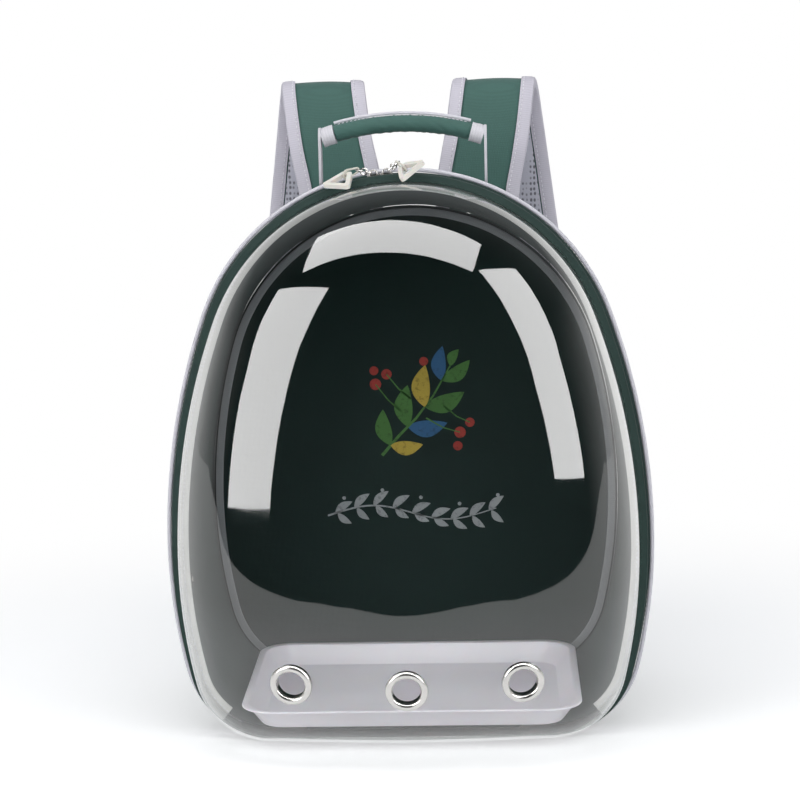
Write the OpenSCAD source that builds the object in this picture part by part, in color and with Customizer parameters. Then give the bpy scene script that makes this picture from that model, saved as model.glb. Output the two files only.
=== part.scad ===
// Backpack-style bird carrier: a fabric-walled cabin behind a clear domed door.
// The door is zipped to the cabin round its sides and top, and hinged along its base.
// Millimetres. Origin on the floor, under the middle of the base. The door faces -Y.

/* [Door ring] */
// Height of the door's rim, measured along the rim
ring_h = 420; // [380:1:460]
// Half of the rim's greatest width
ring_half_w = 177; // [165:1:190]
// Height at which the rim is widest
ring_wide_z = 145; // [125:1:165]
// Radius of the rim's long side curves
ring_side_r = 500; // [450:5:600]
// Radius of the curves from the widest place down to the corners
ring_low_r = 400; // [360:5:480]
// Radius of the rim's bottom corners
ring_corner_r = 62; // [50:1:75]
// How far the rim leans back, in degrees
ring_lean = 3.5; // [2:0.5:6]

/* [Clear dome] */
// How far the dome stands out from its flange
dome_rise = 108; // [90:1:120]
// Thickness of the clear sheet
dome_wall = 1.5; // [1:0.1:2]
// Distance from the rim's edge in to the foot of the dome
dome_inset = 6.5; // [6:0.1:9]
// Height of the dome's crown above the rim's base
dome_crown_z = 190; // [170:1:210]
// Squareness of the dome's section at its sides and top
dome_square = 2.9; // [2.4:0.1:3.6]
// Squareness of the dome's section at its base
dome_square_low = 4.4; // [3.6:0.1:5]

/* [Rim and bindings] */
// Width of the rim band's face
band_w = 6; // [5:0.1:8]
// Depth of the rim band, front to back
band_d = 5.5; // [5:0.1:7]
// Thickness of the folded band fabric
band_wall = 1.7; // [1.2:0.1:2]
// Width of the pale binding inside the rim
binding_w = 6; // [4:0.1:8]
// Thickness of the bindings
binding_t = 1.6; // [1:0.1:2]

/* [Zipper] */
// Thickness of the zipper tape
tape_t = 1.2; // [0.8:0.1:1.5]
// Width of the zipper tape beyond its coil, on each side
tape_w = 4.3; // [3.5:0.1:6]
// Width of each half of the coil
coil_w = 2.3; // [1.8:0.1:3]
// Height of the coil
coil_t = 1.4; // [1:0.1:1.8]
// Gap between the two halves of the coil, where the slider's post runs
coil_gap = 1.2; // [1:0.1:1.6]
// Length of a slider
slider_len = 9; // [8:0.2:9.2]
// Width of a slider
slider_w = 8.6; // [8:0.1:10]
// Thickness of a slider's plates
slider_plate = 1.2; // [1:0.1:1.6]
// Place of the left slider round the arch, in degrees from the top
slider_left_at = -7.8; // [-12:0.1:-6]
// Place of the right slider round the arch, in degrees from the top
slider_right_at = -4.2; // [-5:0.1:4]

/* [Zipper pulls] */
// Wire radius of a chain link
link_wire = 0.65; // [0.5:0.05:0.7]
// Centre-line radius of a chain link
link_r = 2.2; // [2.1:0.1:2.6]
// Length of the triangular tab
tab_len = 20; // [16:0.5:24]
// Width of the triangular tab's foot
tab_w = 24; // [20:1:28]
// Thickness of the triangular tab
tab_t = 3.2; // [2.5:0.1:4]

/* [Cabin] */
// Depth of the base, from the rim to the back
cabin_d = 170; // [150:1:185]
// Thickness of the padded side wall
wall_t = 3; // [2.5:0.1:4]
// Extra half width of the cabin's front edge beyond the rim
front_flare = 2.5; // [1.5:0.1:4]
// Outward swell of the side wall at its middle
wall_swell = 8; // [5:0.5:10]
// Height of the back panel
back_h = 388; // [350:1:400]
// Half of the back panel's greatest width
back_half_w = 166; // [150:1:172]
// Height at which the back panel is widest
back_wide_z = 150; // [130:1:165]
// Radius of the back panel's bottom corners
back_corner_r = 75; // [60:1:85]
// Thickness of the back board
back_t = 4; // [3:0.1:6]
// Thickness of the padded cushion on the back
back_pad_t = 14; // [10:1:18]
// Thickness of the padded floor inside the cabin
floor_pad_t = 12; // [8:0.5:14]
// Radius of the piping round the front and back edges
piping_r = 1.6; // [1.2:0.1:2]

/* [Vents] */
// Bore radius of the eyelets in the dome
dome_eyelet_bore = 10.2; // [8:0.1:11]
// Outer radius of the eyelets in the dome
dome_eyelet_r = 15.3; // [14.5:0.1:17]
// Place of the middle dome eyelet, as an angle from the foot to the crown
eyelet_mid_at = 59; // [55:1:64]
// Place of the outer dome eyelets, as an angle from the foot to the crown
eyelet_side_at = 50; // [46:1:56]
// Thickness of the dome eyelets' barrel
eyelet_barrel = 0.8; // [0.6:0.1:1.2]
// Bore radius of the eyelets in the side walls
side_eyelet_bore = 2.6; // [2:0.1:3.2]
// Outer radius of the eyelets in the side walls
side_eyelet_r = 5.2; // [4.8:0.1:6.5]

/* [Tray] */
// Width of the tray across its rim
tray_w = 253; // [230:1:260]
// Length of the tray, front to back
tray_d = 194; // [170:1:198]
// Height of the tray
tray_h = 16; // [12:0.5:18]
// Slope of the tray's walls, as a run from rim to floor
tray_slope = 14; // [8:0.5:16]
// Thickness of the tray's plastic
tray_wall = 1.6; // [1.2:0.1:2]
// Width of the tray's flat rim
tray_rim = 4; // [3:0.5:6]

/* [Carry handle] */
// Height of the grip above the floor, at its middle
grip_z = 455; // [448:1:462]
// Radius of the padded grip
grip_r = 6.5; // [5.5:0.1:8]
// Radius of the grip's gentle arch
grip_arch_r = 190; // [160:5:240]
// Half the angle of the grip's arch
grip_half_angle = 15.3; // [14:0.1:16]
// Width of the handle's webbing legs
leg_w = 16; // [12:1:20]
// Thickness of the handle's webbing legs
leg_t = 2; // [1.6:0.1:2.4]

/* [Shoulder straps] */
// Width of a shoulder strap
strap_w = 66; // [56:1:72]
// Thickness of a shoulder strap's padding
strap_t = 8; // [6:0.5:10]
// Thickness of the spacer mesh under the strap
mesh_t = 2.4; // [1.5:0.1:3]
// Width of the binding on the strap's edge
strap_binding_w = 11; // [8:0.5:13]
// Top of the shoulder straps above the floor
strap_top_z = 482; // [470:1:490]
// Width of the strap's webbing
webbing_w = 25; // [20:1:30]
// Thickness of the strap's webbing
webbing_t = 1.6; // [1.2:0.1:2]

/* [Hidden] */

// Clearance between pieces that seat on each other
seat = 0.3;
// Places of the main planes
front_y = -cabin_d / 2;
back_y = cabin_d / 2;
ring_lift = 1;

// Segments on half of the flat bottom, then on the corner, lower side, upper side and half top
BOTTOM = 3;
ARCS = [6, 4, 7, 12];

// Stations round an arched outline, each [centre x, centre z, radius, angle].
// The arcs are tangent, so the outline grows or shrinks by its radii alone.
function arc_stations(cx, cz, r, from, to, count, first) =
    [for (i = [first : count]) [cx, cz, r, from + (to - from) * i / count]];

function arch(h, half_w, wide_z, side_r, low_r, corner_r) =
    let (
        side_x = half_w - side_r,
        low_x = half_w - low_r,
        rise = h - wide_z,
        top_r = (side_r^2 - side_x^2 - rise^2) / (2 * (side_r - rise)),
        top_z = h - top_r,
        corner_x = low_x + sqrt((low_r - corner_r)^2 - (wide_z - corner_r)^2),
        side_end = atan2(top_z - wide_z, -side_x),
        corner_end = atan2(corner_r - wide_z, corner_x - low_x),
        half = concat(
            [for (i = [0 : BOTTOM - 1]) [corner_x * i / BOTTOM, corner_r, corner_r, -90]],
            arc_stations(corner_x, corner_r, corner_r, -90, corner_end, ARCS[0], 0),
            arc_stations(low_x, wide_z, low_r, corner_end, 0, ARCS[1], 1),
            arc_stations(side_x, wide_z, side_r, 0, side_end, ARCS[2], 1),
            arc_stations(0, top_z, top_r, side_end, 90, ARCS[3], 1)
        ),
        n = len(half)
    )
    concat(half, [for (i = [n - 2 : -1 : 1]) let (s = half[i]) [-s[0], s[1], s[2], 180 - s[3]]]);

// Point of a station, moved out by grow, as [x, z]
function out(s, grow) = [s[0] + (s[2] + grow) * cos(s[3]), s[1] + (s[2] + grow) * sin(s[3])];

ring = arch(ring_h, ring_half_w, ring_wide_z, ring_side_r, ring_low_r, ring_corner_r);
front = arch(ring_h + 0.8, ring_half_w + front_flare, ring_wide_z, ring_side_r, ring_low_r,
             ring_corner_r + front_flare);
back = arch(back_h, back_half_w, back_wide_z, 450, ring_low_r, back_corner_r);
count = len(ring);
apex = count / 2;
top_r = ring[apex][2];
top_z = ring[apex][1];

// Places along the rim's own depth axis, where negative is towards the front
flange_front = -dome_wall;
band_front = flange_front - seat / 2 - band_wall;
band_back = band_front + band_d;
door_tape_y = band_back + seat;
door_coil_y = door_tape_y + tape_w;
zip_y = door_coil_y + coil_w + coil_gap / 2;
cabin_coil_y = zip_y + coil_gap / 2;
cabin_edge_y = cabin_coil_y + coil_w + tape_w + seat;
tape_top = -1.8;
coil_top = tape_top + 0.2 + coil_t;

// Solid skinned over loops of points that all have the same count
module loft(loops, closed = false, fan = false) {
    n = len(loops);
    m = len(loops[0]);
    walls = [for (i = [0 : closed ? n - 1 : n - 2], j = [0 : m - 1], half = [0, 1])
        let (
            a = i * m + j,
            b = i * m + (j + 1) % m,
            c = ((i + 1) % n) * m + (j + 1) % m,
            d = ((i + 1) % n) * m + j
        )
        half == 0 ? [a, b, c] : [a, c, d]];
    flat_caps = [[for (j = [m - 1 : -1 : 0]) j], [for (j = [0 : m - 1]) (n - 1) * m + j]];
    fans = [for (j = [0 : m - 1], end = [0, 1])
        let (k = (j + 1) % m)
        end == 0 ? [n * m, k, j] : [n * m + 1, (n - 1) * m + j, (n - 1) * m + k]];
    caps = closed ? [] : fan ? fans : flat_caps;
    tips = fan ? [middle(loops[0]), middle(loops[n - 1])] : [];
    polyhedron(concat([for (loop = loops, p = loop) p], tips), concat(walls, caps), convexity = 8);
}

function middle(loop) = [for (p = loop) 1] * loop / len(loop);

// A profile of [grow, y] points carried round an outline: all of it, or both sides and the
// top from one station to its mirror image
module follow(stations, profile, from = 0) {
    to = from == 0 ? count - 1 : count - from;
    loft([for (i = [from : to]) [for (p = profile)
        let (xz = out(stations[i], p[0])) [xz[0], p[1], xz[1]]]], from == 0);
}

// Rectangle profile for follow
function strip(grow_in, grow_out, y0, y1) =
    [[grow_in, y0], [grow_in, y1], [grow_out, y1], [grow_out, y0]];

// Round profile for follow
function bead(grow, y, r, sides = 8) =
    [for (k = [0 : sides - 1]) let (a = -360 * k / sides) [grow + r * cos(a), y + r * sin(a)]];

// The door's own frame: leaning back, standing on the front edge of the base
module on_ring() {
    translate([0, front_y, ring_lift]) rotate([-ring_lean, 0, 0]) children();
}

// A place on the arch of the rim: at an angle from the top, a height above it, and a depth
module on_arch(angle, height, y) {
    translate([0, y, top_z]) rotate([0, angle, 0]) translate([0, 0, top_r + height]) children();
}

// ---------- cabin ----------

// Point of the side wall's skin, at station i and at share t of the way to the back
function wall_point(i, t, grow) =
    let (
        f = out(front[i], grow),
        b = out(back[i], grow),
        y0 = front_y + cabin_edge_y * cos(ring_lean) + f[1] * sin(ring_lean),
        swell = wall_swell * sin(180 * t) * min(1, f[1] / 90) * cos(front[i][3]),
        x = f[0] + (b[0] - f[0]) * t + swell,
        z = f[1] * cos(ring_lean) * (1 - t) + b[1] * t
    )
    [x, y0 + (back_y - y0) * t, z];

WALL_STEPS = [0, 0.12, 0.3, 0.5, 0.72, 1];

module gusset() {
    color([0.14, 0.3, 0.26])
    difference() {
        loft([for (i = [BOTTOM : count - BOTTOM]) concat(
            [for (t = WALL_STEPS) wall_point(i, t, -wall_t)],
            [for (k = [len(WALL_STEPS) - 1 : -1 : 0]) wall_point(i, WALL_STEPS[k], 0)]
        )]);
        for (i = VENTS) {
            on_wall(i) eyelet_hole();
            on_wall(count - i) eyelet_hole();
        }
    }
}

module eyelet_hole() {
    translate([0, 0, -2 * wall_t]) cylinder(r = side_eyelet_bore + 0.8, h = 4 * wall_t, $fn = 24);
}

// Stations of the side wall that carry an eyelet
VENTS = [for (k = [8, 10, 12, 14, 16, 19]) BOTTOM + k];

// The side wall's frame at a station and a share of the way back, with Z out of the cabin
module on_wall(i, t = 0.5) {
    n = unit(cross(wall_point(i, t + 0.05, 0) - wall_point(i, t - 0.05, 0),
                   wall_point(i + 1, t, 0) - wall_point(i - 1, t, 0)));
    turn = atan2(n[1], n[0]);
    translate(wall_point(i, t, 0)) rotate([0, acos(n[2]), turn]) rotate([0, 0, -turn]) children();
}

module vent_eyelets(side) {
    flange_t = 0.8;
    color([0.8, 0.8, 0.82])
    for (i = VENTS)
        on_wall(side > 0 ? i : count - i)
            rotate_extrude($fn = 24) polygon([
                [side_eyelet_bore, -wall_t - 0.5],
                [side_eyelet_bore + 0.6, -wall_t - 0.5],
                [side_eyelet_bore + 0.6, 0.35],
                [side_eyelet_r, 0.35],
                [side_eyelet_r - 0.6, 0.35 + flange_t],
                [side_eyelet_bore + 0.3, 0.35 + flange_t],
                [side_eyelet_bore, 0.35 + flange_t - 0.3]
            ]);
}

base_front = front_y + cabin_edge_y * cos(ring_lean);
base_half_front = front[BOTTOM][0];
base_half_back = back[BOTTOM][0];

// Flat bottom, between the ends of the side wall
module base_panel() {
    color([0.12, 0.26, 0.23])
    linear_extrude(wall_t) polygon([
        [-base_half_front + seat, base_front], [base_half_front - seat, base_front],
        [base_half_back - seat, back_y], [-base_half_back + seat, back_y]
    ]);
}

floor_z = wall_t + seat + floor_pad_t;
lining_t = 1;
// Planes of the lining and of the seam binding in front of it
lining_front = back_y - back_t - seat - lining_t;
binding_front = lining_front - seat - binding_t;

// Padded floor that the tray stands on
module floor_pad() {
    edge = back_corner_r * 0.3;
    color([0.1, 0.14, 0.13])
    translate([0, 0, wall_t + seat])
    linear_extrude(floor_pad_t) polygon([
        [-base_half_front + edge, base_front + seat], [base_half_front - edge, base_front + seat],
        [base_half_back - seat, binding_front - seat], [-base_half_back + seat, binding_front - seat]
    ]);
}

// Flat sheet in the outline of the back, between two depths
module back_sheet(grow, y0, y1) {
    translate([0, y1, 0]) rotate([90, 0, 0]) linear_extrude(y1 - y0)
        polygon([for (s = back) out(s, grow)]);
}

module back_panel() {
    color([0.13, 0.28, 0.24]) back_sheet(-wall_t - seat, back_y - back_t, back_y);
}

module back_lining() {
    color([0.05, 0.12, 0.1]) back_sheet(-wall_t - 1.2, lining_front, lining_front + lining_t);
}

module seam_binding() {
    color([0.72, 0.72, 0.74])
    follow(back, strip(-wall_t - binding_w - 2, -wall_t - 2, binding_front, binding_front + binding_t));
}

module rear_piping() {
    color([0.84, 0.83, 0.86])
    follow(back, bead(-piping_r, back_y + seat + piping_r, piping_r));
}

module front_piping() {
    color([0.9, 0.9, 0.92])
    on_ring() follow(front, bead(seat + piping_r, cabin_edge_y + piping_r, piping_r), ZIP_FROM);
}

// Cushion of the back: a crowned pad, with a channel down its middle and two across
module back_pad() {
    pad = arch(back_h - 90, back_half_w - 30, back_wide_z - 36, 450, ring_low_r, back_corner_r - 18);
    levels = [0, 0.45, 0.8, 1];
    insets = [0, 2, 7, 16];
    base_z = 46;
    y0 = back_y + seat;
    color([0.55, 0.56, 0.58])
    difference() {
        translate([0, 0, base_z]) loft([for (k = [0 : 3]) [for (i = [0 : count - 1])
            let (xz = out(pad[i], -insets[k])) [xz[0], y0 + back_pad_t * levels[k], xz[1]]]], fan = true);
        translate([0, y0 + back_pad_t, 0]) cylinder(r = 6, h = 3 * back_h, center = true, $fn = 24);
        for (z = [0.38, 0.66])
            translate([0, y0 + back_pad_t + 1, back_h * z])
                rotate([0, 90, 0]) cylinder(r = 6, h = 4 * back_half_w, center = true, $fn = 24);
    }
}

// Fabric strip that joins the door's foot to the base, with a round nose on the hinge line
hinge_y = band_back + seat + 0.9;
hinge_z = 0.9;
hinge_r = 0.6;

module hinge_strip() {
    half = ring[BOTTOM][0] - 4;
    color([0.1, 0.2, 0.18])
    on_ring() translate([-half, 0, 0]) {
        translate([0, hinge_y, hinge_z - hinge_r])
            cube([2 * half, cabin_edge_y - hinge_y - seat, 2 * hinge_r]);
        translate([0, hinge_y, hinge_z]) rotate([0, 90, 0])
            cylinder(r = hinge_r, h = 2 * half, $fn = 24);
    }
}

// ---------- zipper ----------

// Station where the zipper starts, on the bottom corner
ZIP_FROM = BOTTOM + 2;

module zip_tape_cabin() {
    color([0.9, 0.9, 0.92])
    on_ring() {
        follow(ring, strip(tape_top - tape_t, tape_top, cabin_coil_y, cabin_edge_y - seat),
               ZIP_FROM);
        follow(ring, strip(tape_top, coil_top, cabin_coil_y, cabin_coil_y + coil_w),
               ZIP_FROM);
    }
}

module zip_tape_door() {
    color([0.9, 0.9, 0.92])
    on_ring() {
        follow(ring, strip(tape_top - tape_t, tape_top, door_tape_y, door_coil_y + coil_w),
               ZIP_FROM);
        follow(ring, strip(tape_top, coil_top, door_coil_y, door_coil_y + coil_w),
               ZIP_FROM);
    }
}

bridge_r = 3;
bridge_wire = 0.6;
slider_base = coil_top + seat;
slider_under = tape_top - tape_t - 0.7;

// Slider: two plates joined by a post, with a flange on the door side and a bridge for the pull
module slider(angle) {
    post_w = coil_gap - 0.4;
    color([0.78, 0.78, 0.8])
    on_ring() on_arch(angle, 0, zip_y) {
        translate([0, 0, slider_base]) slider_plate_shape();
        translate([0, 0, slider_under - slider_plate]) slider_plate_shape();
        translate([-slider_len / 4, -post_w / 2, slider_under - 0.1])
            cube([slider_len / 2, post_w, slider_base - slider_under + 0.2]);
        translate([-slider_len / 4, -slider_w / 2, tape_top + 0.5])
            cube([slider_len / 2, 0.7, slider_base - tape_top]);
        translate([0, 0, slider_base + slider_plate - 0.1]) rotate([90, 0, 0])
            rotate_extrude(angle = 180, $fn = 32)
                translate([bridge_r, 0]) circle(r = bridge_wire, $fn = 16);
    }
}

// Plate with a blunt nose
module slider_plate_shape() {
    nose = slider_w * 0.3;
    linear_extrude(slider_plate) polygon([
        [-slider_len / 2, -nose], [-slider_len / 4, -slider_w / 2],
        [slider_len / 4, -slider_w / 2], [slider_len / 2, -nose],
        [slider_len / 2, nose], [slider_len / 4, slider_w / 2],
        [-slider_len / 4, slider_w / 2], [-slider_len / 2, nose]
    ]);
}

// Height of the pull's pivot above the rim's edge
pull_h = slider_base + slider_plate + seat + link_wire + 0.1;
link_len = 2 * link_r + 0.6;
link_pitch = link_len - 2 * link_wire - 0.3;
LINKS = 3;

// How each pull lies: yaw and rise of its chain; turn, fall and length of its cord loop;
// and how much more the tab falls and turns
function pull_pose(side) = side < 0 ? [14, 20, 32, 26, 10, 9, 18] : [30, 34, 45, 42, 8, -19, 0];

// The pull's frame, with its origin at the first link's near wire and X along the chain; the
// first link goes round the foot of the slider's bridge.
// Side is -1 for a pull that lies to the left and 1 for one that lies to the right.
module on_pull(angle, side) {
    pose = pull_pose(side);
    on_ring() on_arch(angle, pull_h, zip_y)
        mirror([side < 0 ? 1 : 0, 0, 0])
            translate([bridge_r - bridge_wire - link_wire - 0.7, 0, 0]) rotate([0, -pose[1], 0])
                children();
}

// The same frame turned in the first link's plane, for the chain beyond that link
module on_chain(angle, side) {
    bend = link_len - link_r;
    on_pull(angle, side) translate([bend, 0, 0]) rotate([0, 0, -pull_pose(side)[0]])
        translate([-bend, 0, 0]) children();
}

module link(k) {
    translate([link_r + k * link_pitch, 0, 0]) rotate([(k + 1) % 2 * 90, 0, 0])
        tube_ring(belt(link_len - 2 * link_r, link_r, link_r), link_wire, 8);
}

// Links, each turned a quarter against the last
module pull_chain(angle, side) {
    color([0.75, 0.75, 0.77]) {
        on_pull(angle, side) link(0);
        on_chain(angle, side) for (k = [1 : LINKS - 1]) link(k);
    }
}

cord_r = 0.8;
cord_seat = 0.2;
tab_rim = 3.4;

// Radii of the cord loop's turns round the link's wire and round the tab's corner
wire_turn = link_wire + cord_r + cord_seat;
tab_turn = norm([tab_rim, tab_t]) / 2 + cord_r + cord_seat;

// Closed path in the XZ plane round two circles, one at the origin and one along X
function belt(length, ra, rb) =
    let (slant = asin((rb - ra) / length), steps = 6)
    concat(
        [for (k = [0 : steps]) let (a = 90 + slant + k * (180 - 2 * slant) / steps)
            [ra * cos(a), 0, ra * sin(a)]],
        [for (k = [0 : steps]) let (a = -90 - slant + k * (180 + 2 * slant) / steps)
            [length + rb * cos(a), 0, rb * sin(a)]]
    );

// Frame at the last link's far wire, with X along the cord loop
module on_cord(angle, side) {
    pose = pull_pose(side);
    on_chain(angle, side)
        translate([(LINKS - 1) * link_pitch + link_len - link_r, 0, 0]) rotate([0, 0, -pose[2]])
            translate([link_r, 0, 0]) rotate([0, pose[3], 0]) children();
}

// Closed loop of cord round the link's wire and the tab's narrow end
module pull_cord(angle, side) {
    color([0.92, 0.9, 0.86])
    on_cord(angle, side) tube_ring(belt(pull_pose(side)[4], wire_turn, tab_turn), cord_r, 8);
}

// Round tube along a closed path that lies in the XZ plane
module tube_ring(path, r, sides) {
    n = len(path);
    loft([for (i = [0 : n - 1])
        let (
            t = unit(path[(i + 1) % n] - path[(i + n - 1) % n]),
            u = [-t[2], 0, t[0]]
        )
        [for (k = [0 : sides - 1]) let (a = 360 * k / sides)
            path[i] + r * (cos(a) * u + sin(a) * [0, 1, 0])]], true);
}

function unit(v) = v / norm(v);

// Open triangular tab that hangs from the cord by its corner
module pull_tab(angle, side) {
    pose = pull_pose(side);
    color([0.93, 0.9, 0.86])
    on_cord(angle, side) translate([pose[4], 0, 0]) rotate([0, pose[5], -pose[6]])
        translate([-tab_rim / 2, 0, -tab_t / 2])
            linear_extrude(tab_t) difference() {
                tab_outline(0);
                tab_outline(tab_rim);
            }
}

// Triangle with a blunt narrow end and rounded corners, drawn in by inset
module tab_outline(inset) {
    neck = 3.8;
    flare = atan((tab_w / 2 - neck) / tab_len);
    r = max(0.6, 2.2 - inset);
    edge = inset + r;
    hull()
        for (x = [edge, tab_len - edge], s = [-1, 1])
            translate([x, s * (neck + x * tan(flare) - edge / cos(flare))]) circle(r = r, $fn = 16);
}

// ---------- door ----------

// Radii of the oval that the dome's section nears at its crown: across, up and down
crown_across = ring_half_w - dome_inset - 10;
crown_up = ring_h - dome_crown_z - dome_inset - 10;
crown_down = dome_crown_z - dome_inset - 6;

// Angles from the foot of the dome (0) to its crown (90)
DOME_STEPS = [0, 5, 14, 24, 35, 47, 58, 69, 80];

// Point of the dome's skin above station i of the rim, at an angle from foot to crown.
// The section starts as the rim's outline and nears an oval; inset gives the inner skin.
function dome_point(i, step, inset = 0) =
    let (
        foot = out(ring[(i + count) % count], -dome_inset - inset) - [0, dome_crown_z],
        dir = unit(foot),
        low = max(0, -dir[1])^2,
        n = dome_square + (dome_square_low - dome_square) * low,
        oval = 1 / norm([dir[0] / crown_across, dir[1] / (dir[1] > 0 ? crown_up : crown_down)]),
        blend = sin(step)^2,
        reach = (norm(foot) * (1 - blend) + (oval - inset) * blend) * pow(cos(step), 2 / n)
    )
    [dir[0] * reach, flange_front + inset - dome_rise * pow(sin(step), 2 / n),
     dome_crown_z + dir[1] * reach];

function dome_loop(step, inset) = [for (i = [0 : count - 1]) dome_point(i, step, inset)];
function flange_loop(grow, y) = [for (s = ring) let (p = out(s, grow)) [p[0], y, p[1]]];

// Clear sheet: the outer skin, the flange's edge and the inner skin, closed at both crowns
module dome_shell() {
    edge = -band_wall - seat;
    loops = concat(
        [for (k = [len(DOME_STEPS) - 1 : -1 : 0]) dome_loop(DOME_STEPS[k], 0)],
        [flange_loop(edge, flange_front), flange_loop(edge, 0)],
        [for (step = DOME_STEPS) dome_loop(step, dome_wall)]
    );
    n = len(loops);
    crown = [0, flange_front - dome_rise, dome_crown_z];
    points = concat([for (loop = loops, p = loop) p], [crown, crown + [0, dome_wall, 0]]);
    walls = [for (i = [0 : n - 2], j = [0 : count - 1], half = [0, 1])
        let (a = i * count + j, b = i * count + (j + 1) % count, c = a + count, d = b + count)
        half == 0 ? [a, b, d] : [a, d, c]];
    tips = [for (j = [0 : count - 1], tip = [0, 1])
        let (k = (j + 1) % count)
        tip == 0 ? [n * count, k, j] : [n * count + 1, (n - 1) * count + j, (n - 1) * count + k]];
    polyhedron(points, concat(walls, tips), convexity = 8);
}

// Frame of a dome eyelet, with Z out of the dome: side -1, 0 or 1
module on_dome(side) {
    i = side == 0 ? 0 : side > 0 ? BOTTOM + 1 : count - BOTTOM - 1;
    step = side == 0 ? eyelet_mid_at : eyelet_side_at;
    n = unit(cross(dome_point(i + 1, step) - dome_point(i - 1, step),
                   dome_point(i, step + 3) - dome_point(i, step - 3)));
    translate(dome_point(i, step)) rotate([0, acos(n[2]), atan2(n[1], n[0])]) children();
}

module dome() {
    color([0.75, 0.85, 0.85, 0.4])
    on_ring() difference() {
        dome_shell();
        for (side = [-1 : 1])
            on_dome(side)
                cylinder(r = dome_eyelet_bore + eyelet_barrel + seat, h = 8 * dome_wall,
                         center = true, $fn = 48);
    }
}

// Rolled eyelet: a domed flange outside, a barrel through the sheet and a washer inside
module dome_eyelet(side) {
    barrel = dome_eyelet_bore + eyelet_barrel;
    inside = -dome_wall - 1.7;
    lift = 0.7;
    color([0.8, 0.78, 0.74])
    on_ring() on_dome(side)
        rotate_extrude($fn = 64) polygon(concat(
            [[dome_eyelet_bore, inside - 0.8], [dome_eyelet_r - 1.5, inside - 0.8],
             [dome_eyelet_r - 1.5, inside], [barrel, inside], [barrel, lift],
             [dome_eyelet_r, lift]],
            [for (a = [30 : 30 : 180])
                let (mid = (dome_eyelet_r + dome_eyelet_bore) / 2, w = dome_eyelet_r - mid)
                [mid + w * cos(a), lift + 2.2 * sin(a)]]
        ));
}

// Fabric band folded over the flange's edge
module rim_band() {
    slot_back = seat / 2;
    color([0.14, 0.3, 0.26])
    on_ring() follow(ring, [
        [-band_w, band_front], [-band_w, band_front + band_wall],
        [-band_wall, band_front + band_wall], [-band_wall, slot_back],
        [-band_w, slot_back], [-band_w, band_back],
        [-0.8, band_back], [0, band_back - 0.8], [0, band_front + 0.8], [-0.8, band_front]
    ]);
}

// Pale binding inside the rim, seen through the dome
module rim_binding() {
    y0 = seat / 2 + 0.2;
    color([0.88, 0.87, 0.85])
    on_ring() follow(ring, strip(-band_w - seat - binding_w, -band_w - seat, y0, y0 + binding_t),
                     BOTTOM + 3);
}

// ---------- tray ----------

tray_z = floor_z + seat;
tray_back = binding_front - 6;

// Rounded rectangle seen from above, drawn in by inset, as a thin slab
module tray_slab(inset, z, t) {
    r = 26 - inset * 0.6;
    for (sx = [-1, 1], y = [tray_back - r - inset, tray_back - tray_d + r + inset])
        translate([sx * (tray_w / 2 - r - inset), y, z]) cylinder(r = r, h = t, $fn = 32);
}

module tray() {
    skin = 0.4;
    color([0.9, 0.9, 0.93])
    translate([0, 0, tray_z]) difference() {
        union() {
            hull() {
                tray_slab(tray_slope, 0, skin);
                tray_slab(tray_rim, tray_h - skin, skin);
            }
            hull() tray_slab(0, tray_h - tray_wall, tray_wall);
        }
        hull() {
            tray_slab(tray_slope + tray_wall, tray_wall, skin);
            tray_slab(tray_rim + tray_wall, tray_h, skin);
        }
    }
}

// ---------- carry handle ----------

leg_x = grip_arch_r * sin(grip_half_angle + 3.6);
patch_t = 1.2;
handle_share = 0.13;
handle_station = 4;
handle_foot = wall_point(apex - handle_station, handle_share, 0);
handle_y = handle_foot[1];
handle_pivot_z = handle_foot[2] + leg_w / 2 + patch_t + 2.2;
grip_centre_z = grip_z - grip_arch_r;

// Part of the grip's arch, from one angle to another measured from the top
module grip_arc(from, to, r, lift = 0) {
    translate([0, handle_y, grip_centre_z]) rotate([0, from, 0]) rotate([90, 0, 0])
        rotate([0, 0, 90]) rotate([0, 0, from - to]) rotate_extrude(angle = to - from, $fn = 96)
            translate([grip_arch_r + lift, 0]) circle(r = r, $fn = 24);
}

module handle_grip() {
    color([0.12, 0.3, 0.26]) grip_arc(-grip_half_angle, grip_half_angle, grip_r);
}

module handle_piping() {
    r = 1.2;
    a = grip_half_angle - 0.4;
    color([0.9, 0.9, 0.92]) grip_arc(-a, a, r, grip_r + r + seat / 2);
}

// Webbing: a wrap at each end of the grip and a leg down to the cabin
module handle_webbing() {
    wrap_from = grip_half_angle + 0.1;
    wrap_to = grip_half_angle + 3.2;
    wrap_z = grip_centre_z + grip_arch_r * cos(wrap_to);
    color([0.86, 0.85, 0.88]) {
        grip_arc(wrap_from, wrap_to, grip_r + 0.8);
        grip_arc(-wrap_to, -wrap_from, grip_r + 0.8);
        for (s = [-1, 1]) translate([s * leg_x, handle_y, 0]) {
            translate([-leg_t / 2, -leg_w / 2, handle_pivot_z])
                cube([leg_t, leg_w, wrap_z - handle_pivot_z]);
            translate([-leg_t / 2, 0, handle_pivot_z]) rotate([0, 90, 0])
                cylinder(r = leg_w / 2, h = leg_t, $fn = 48);
            translate([-leg_t / 2, 0, wrap_z]) rotate([0, 90, 0])
                cylinder(r = leg_w / 2, h = leg_t, $fn = 48);
        }
    }
}

// Sewn patches on the side wall's top that the handle's legs stand on
module handle_anchors() {
    patch_w = 22;
    color([0.16, 0.34, 0.3])
    for (i = [apex - handle_station, apex + handle_station])
        on_wall(i, handle_share)
            translate([-patch_w / 2, -patch_w / 2, seat]) cube([patch_w, patch_w, patch_t]);
}

// ---------- shoulder straps ----------

strap_root = [54, back_y + 8, back_h - 11];

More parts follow.
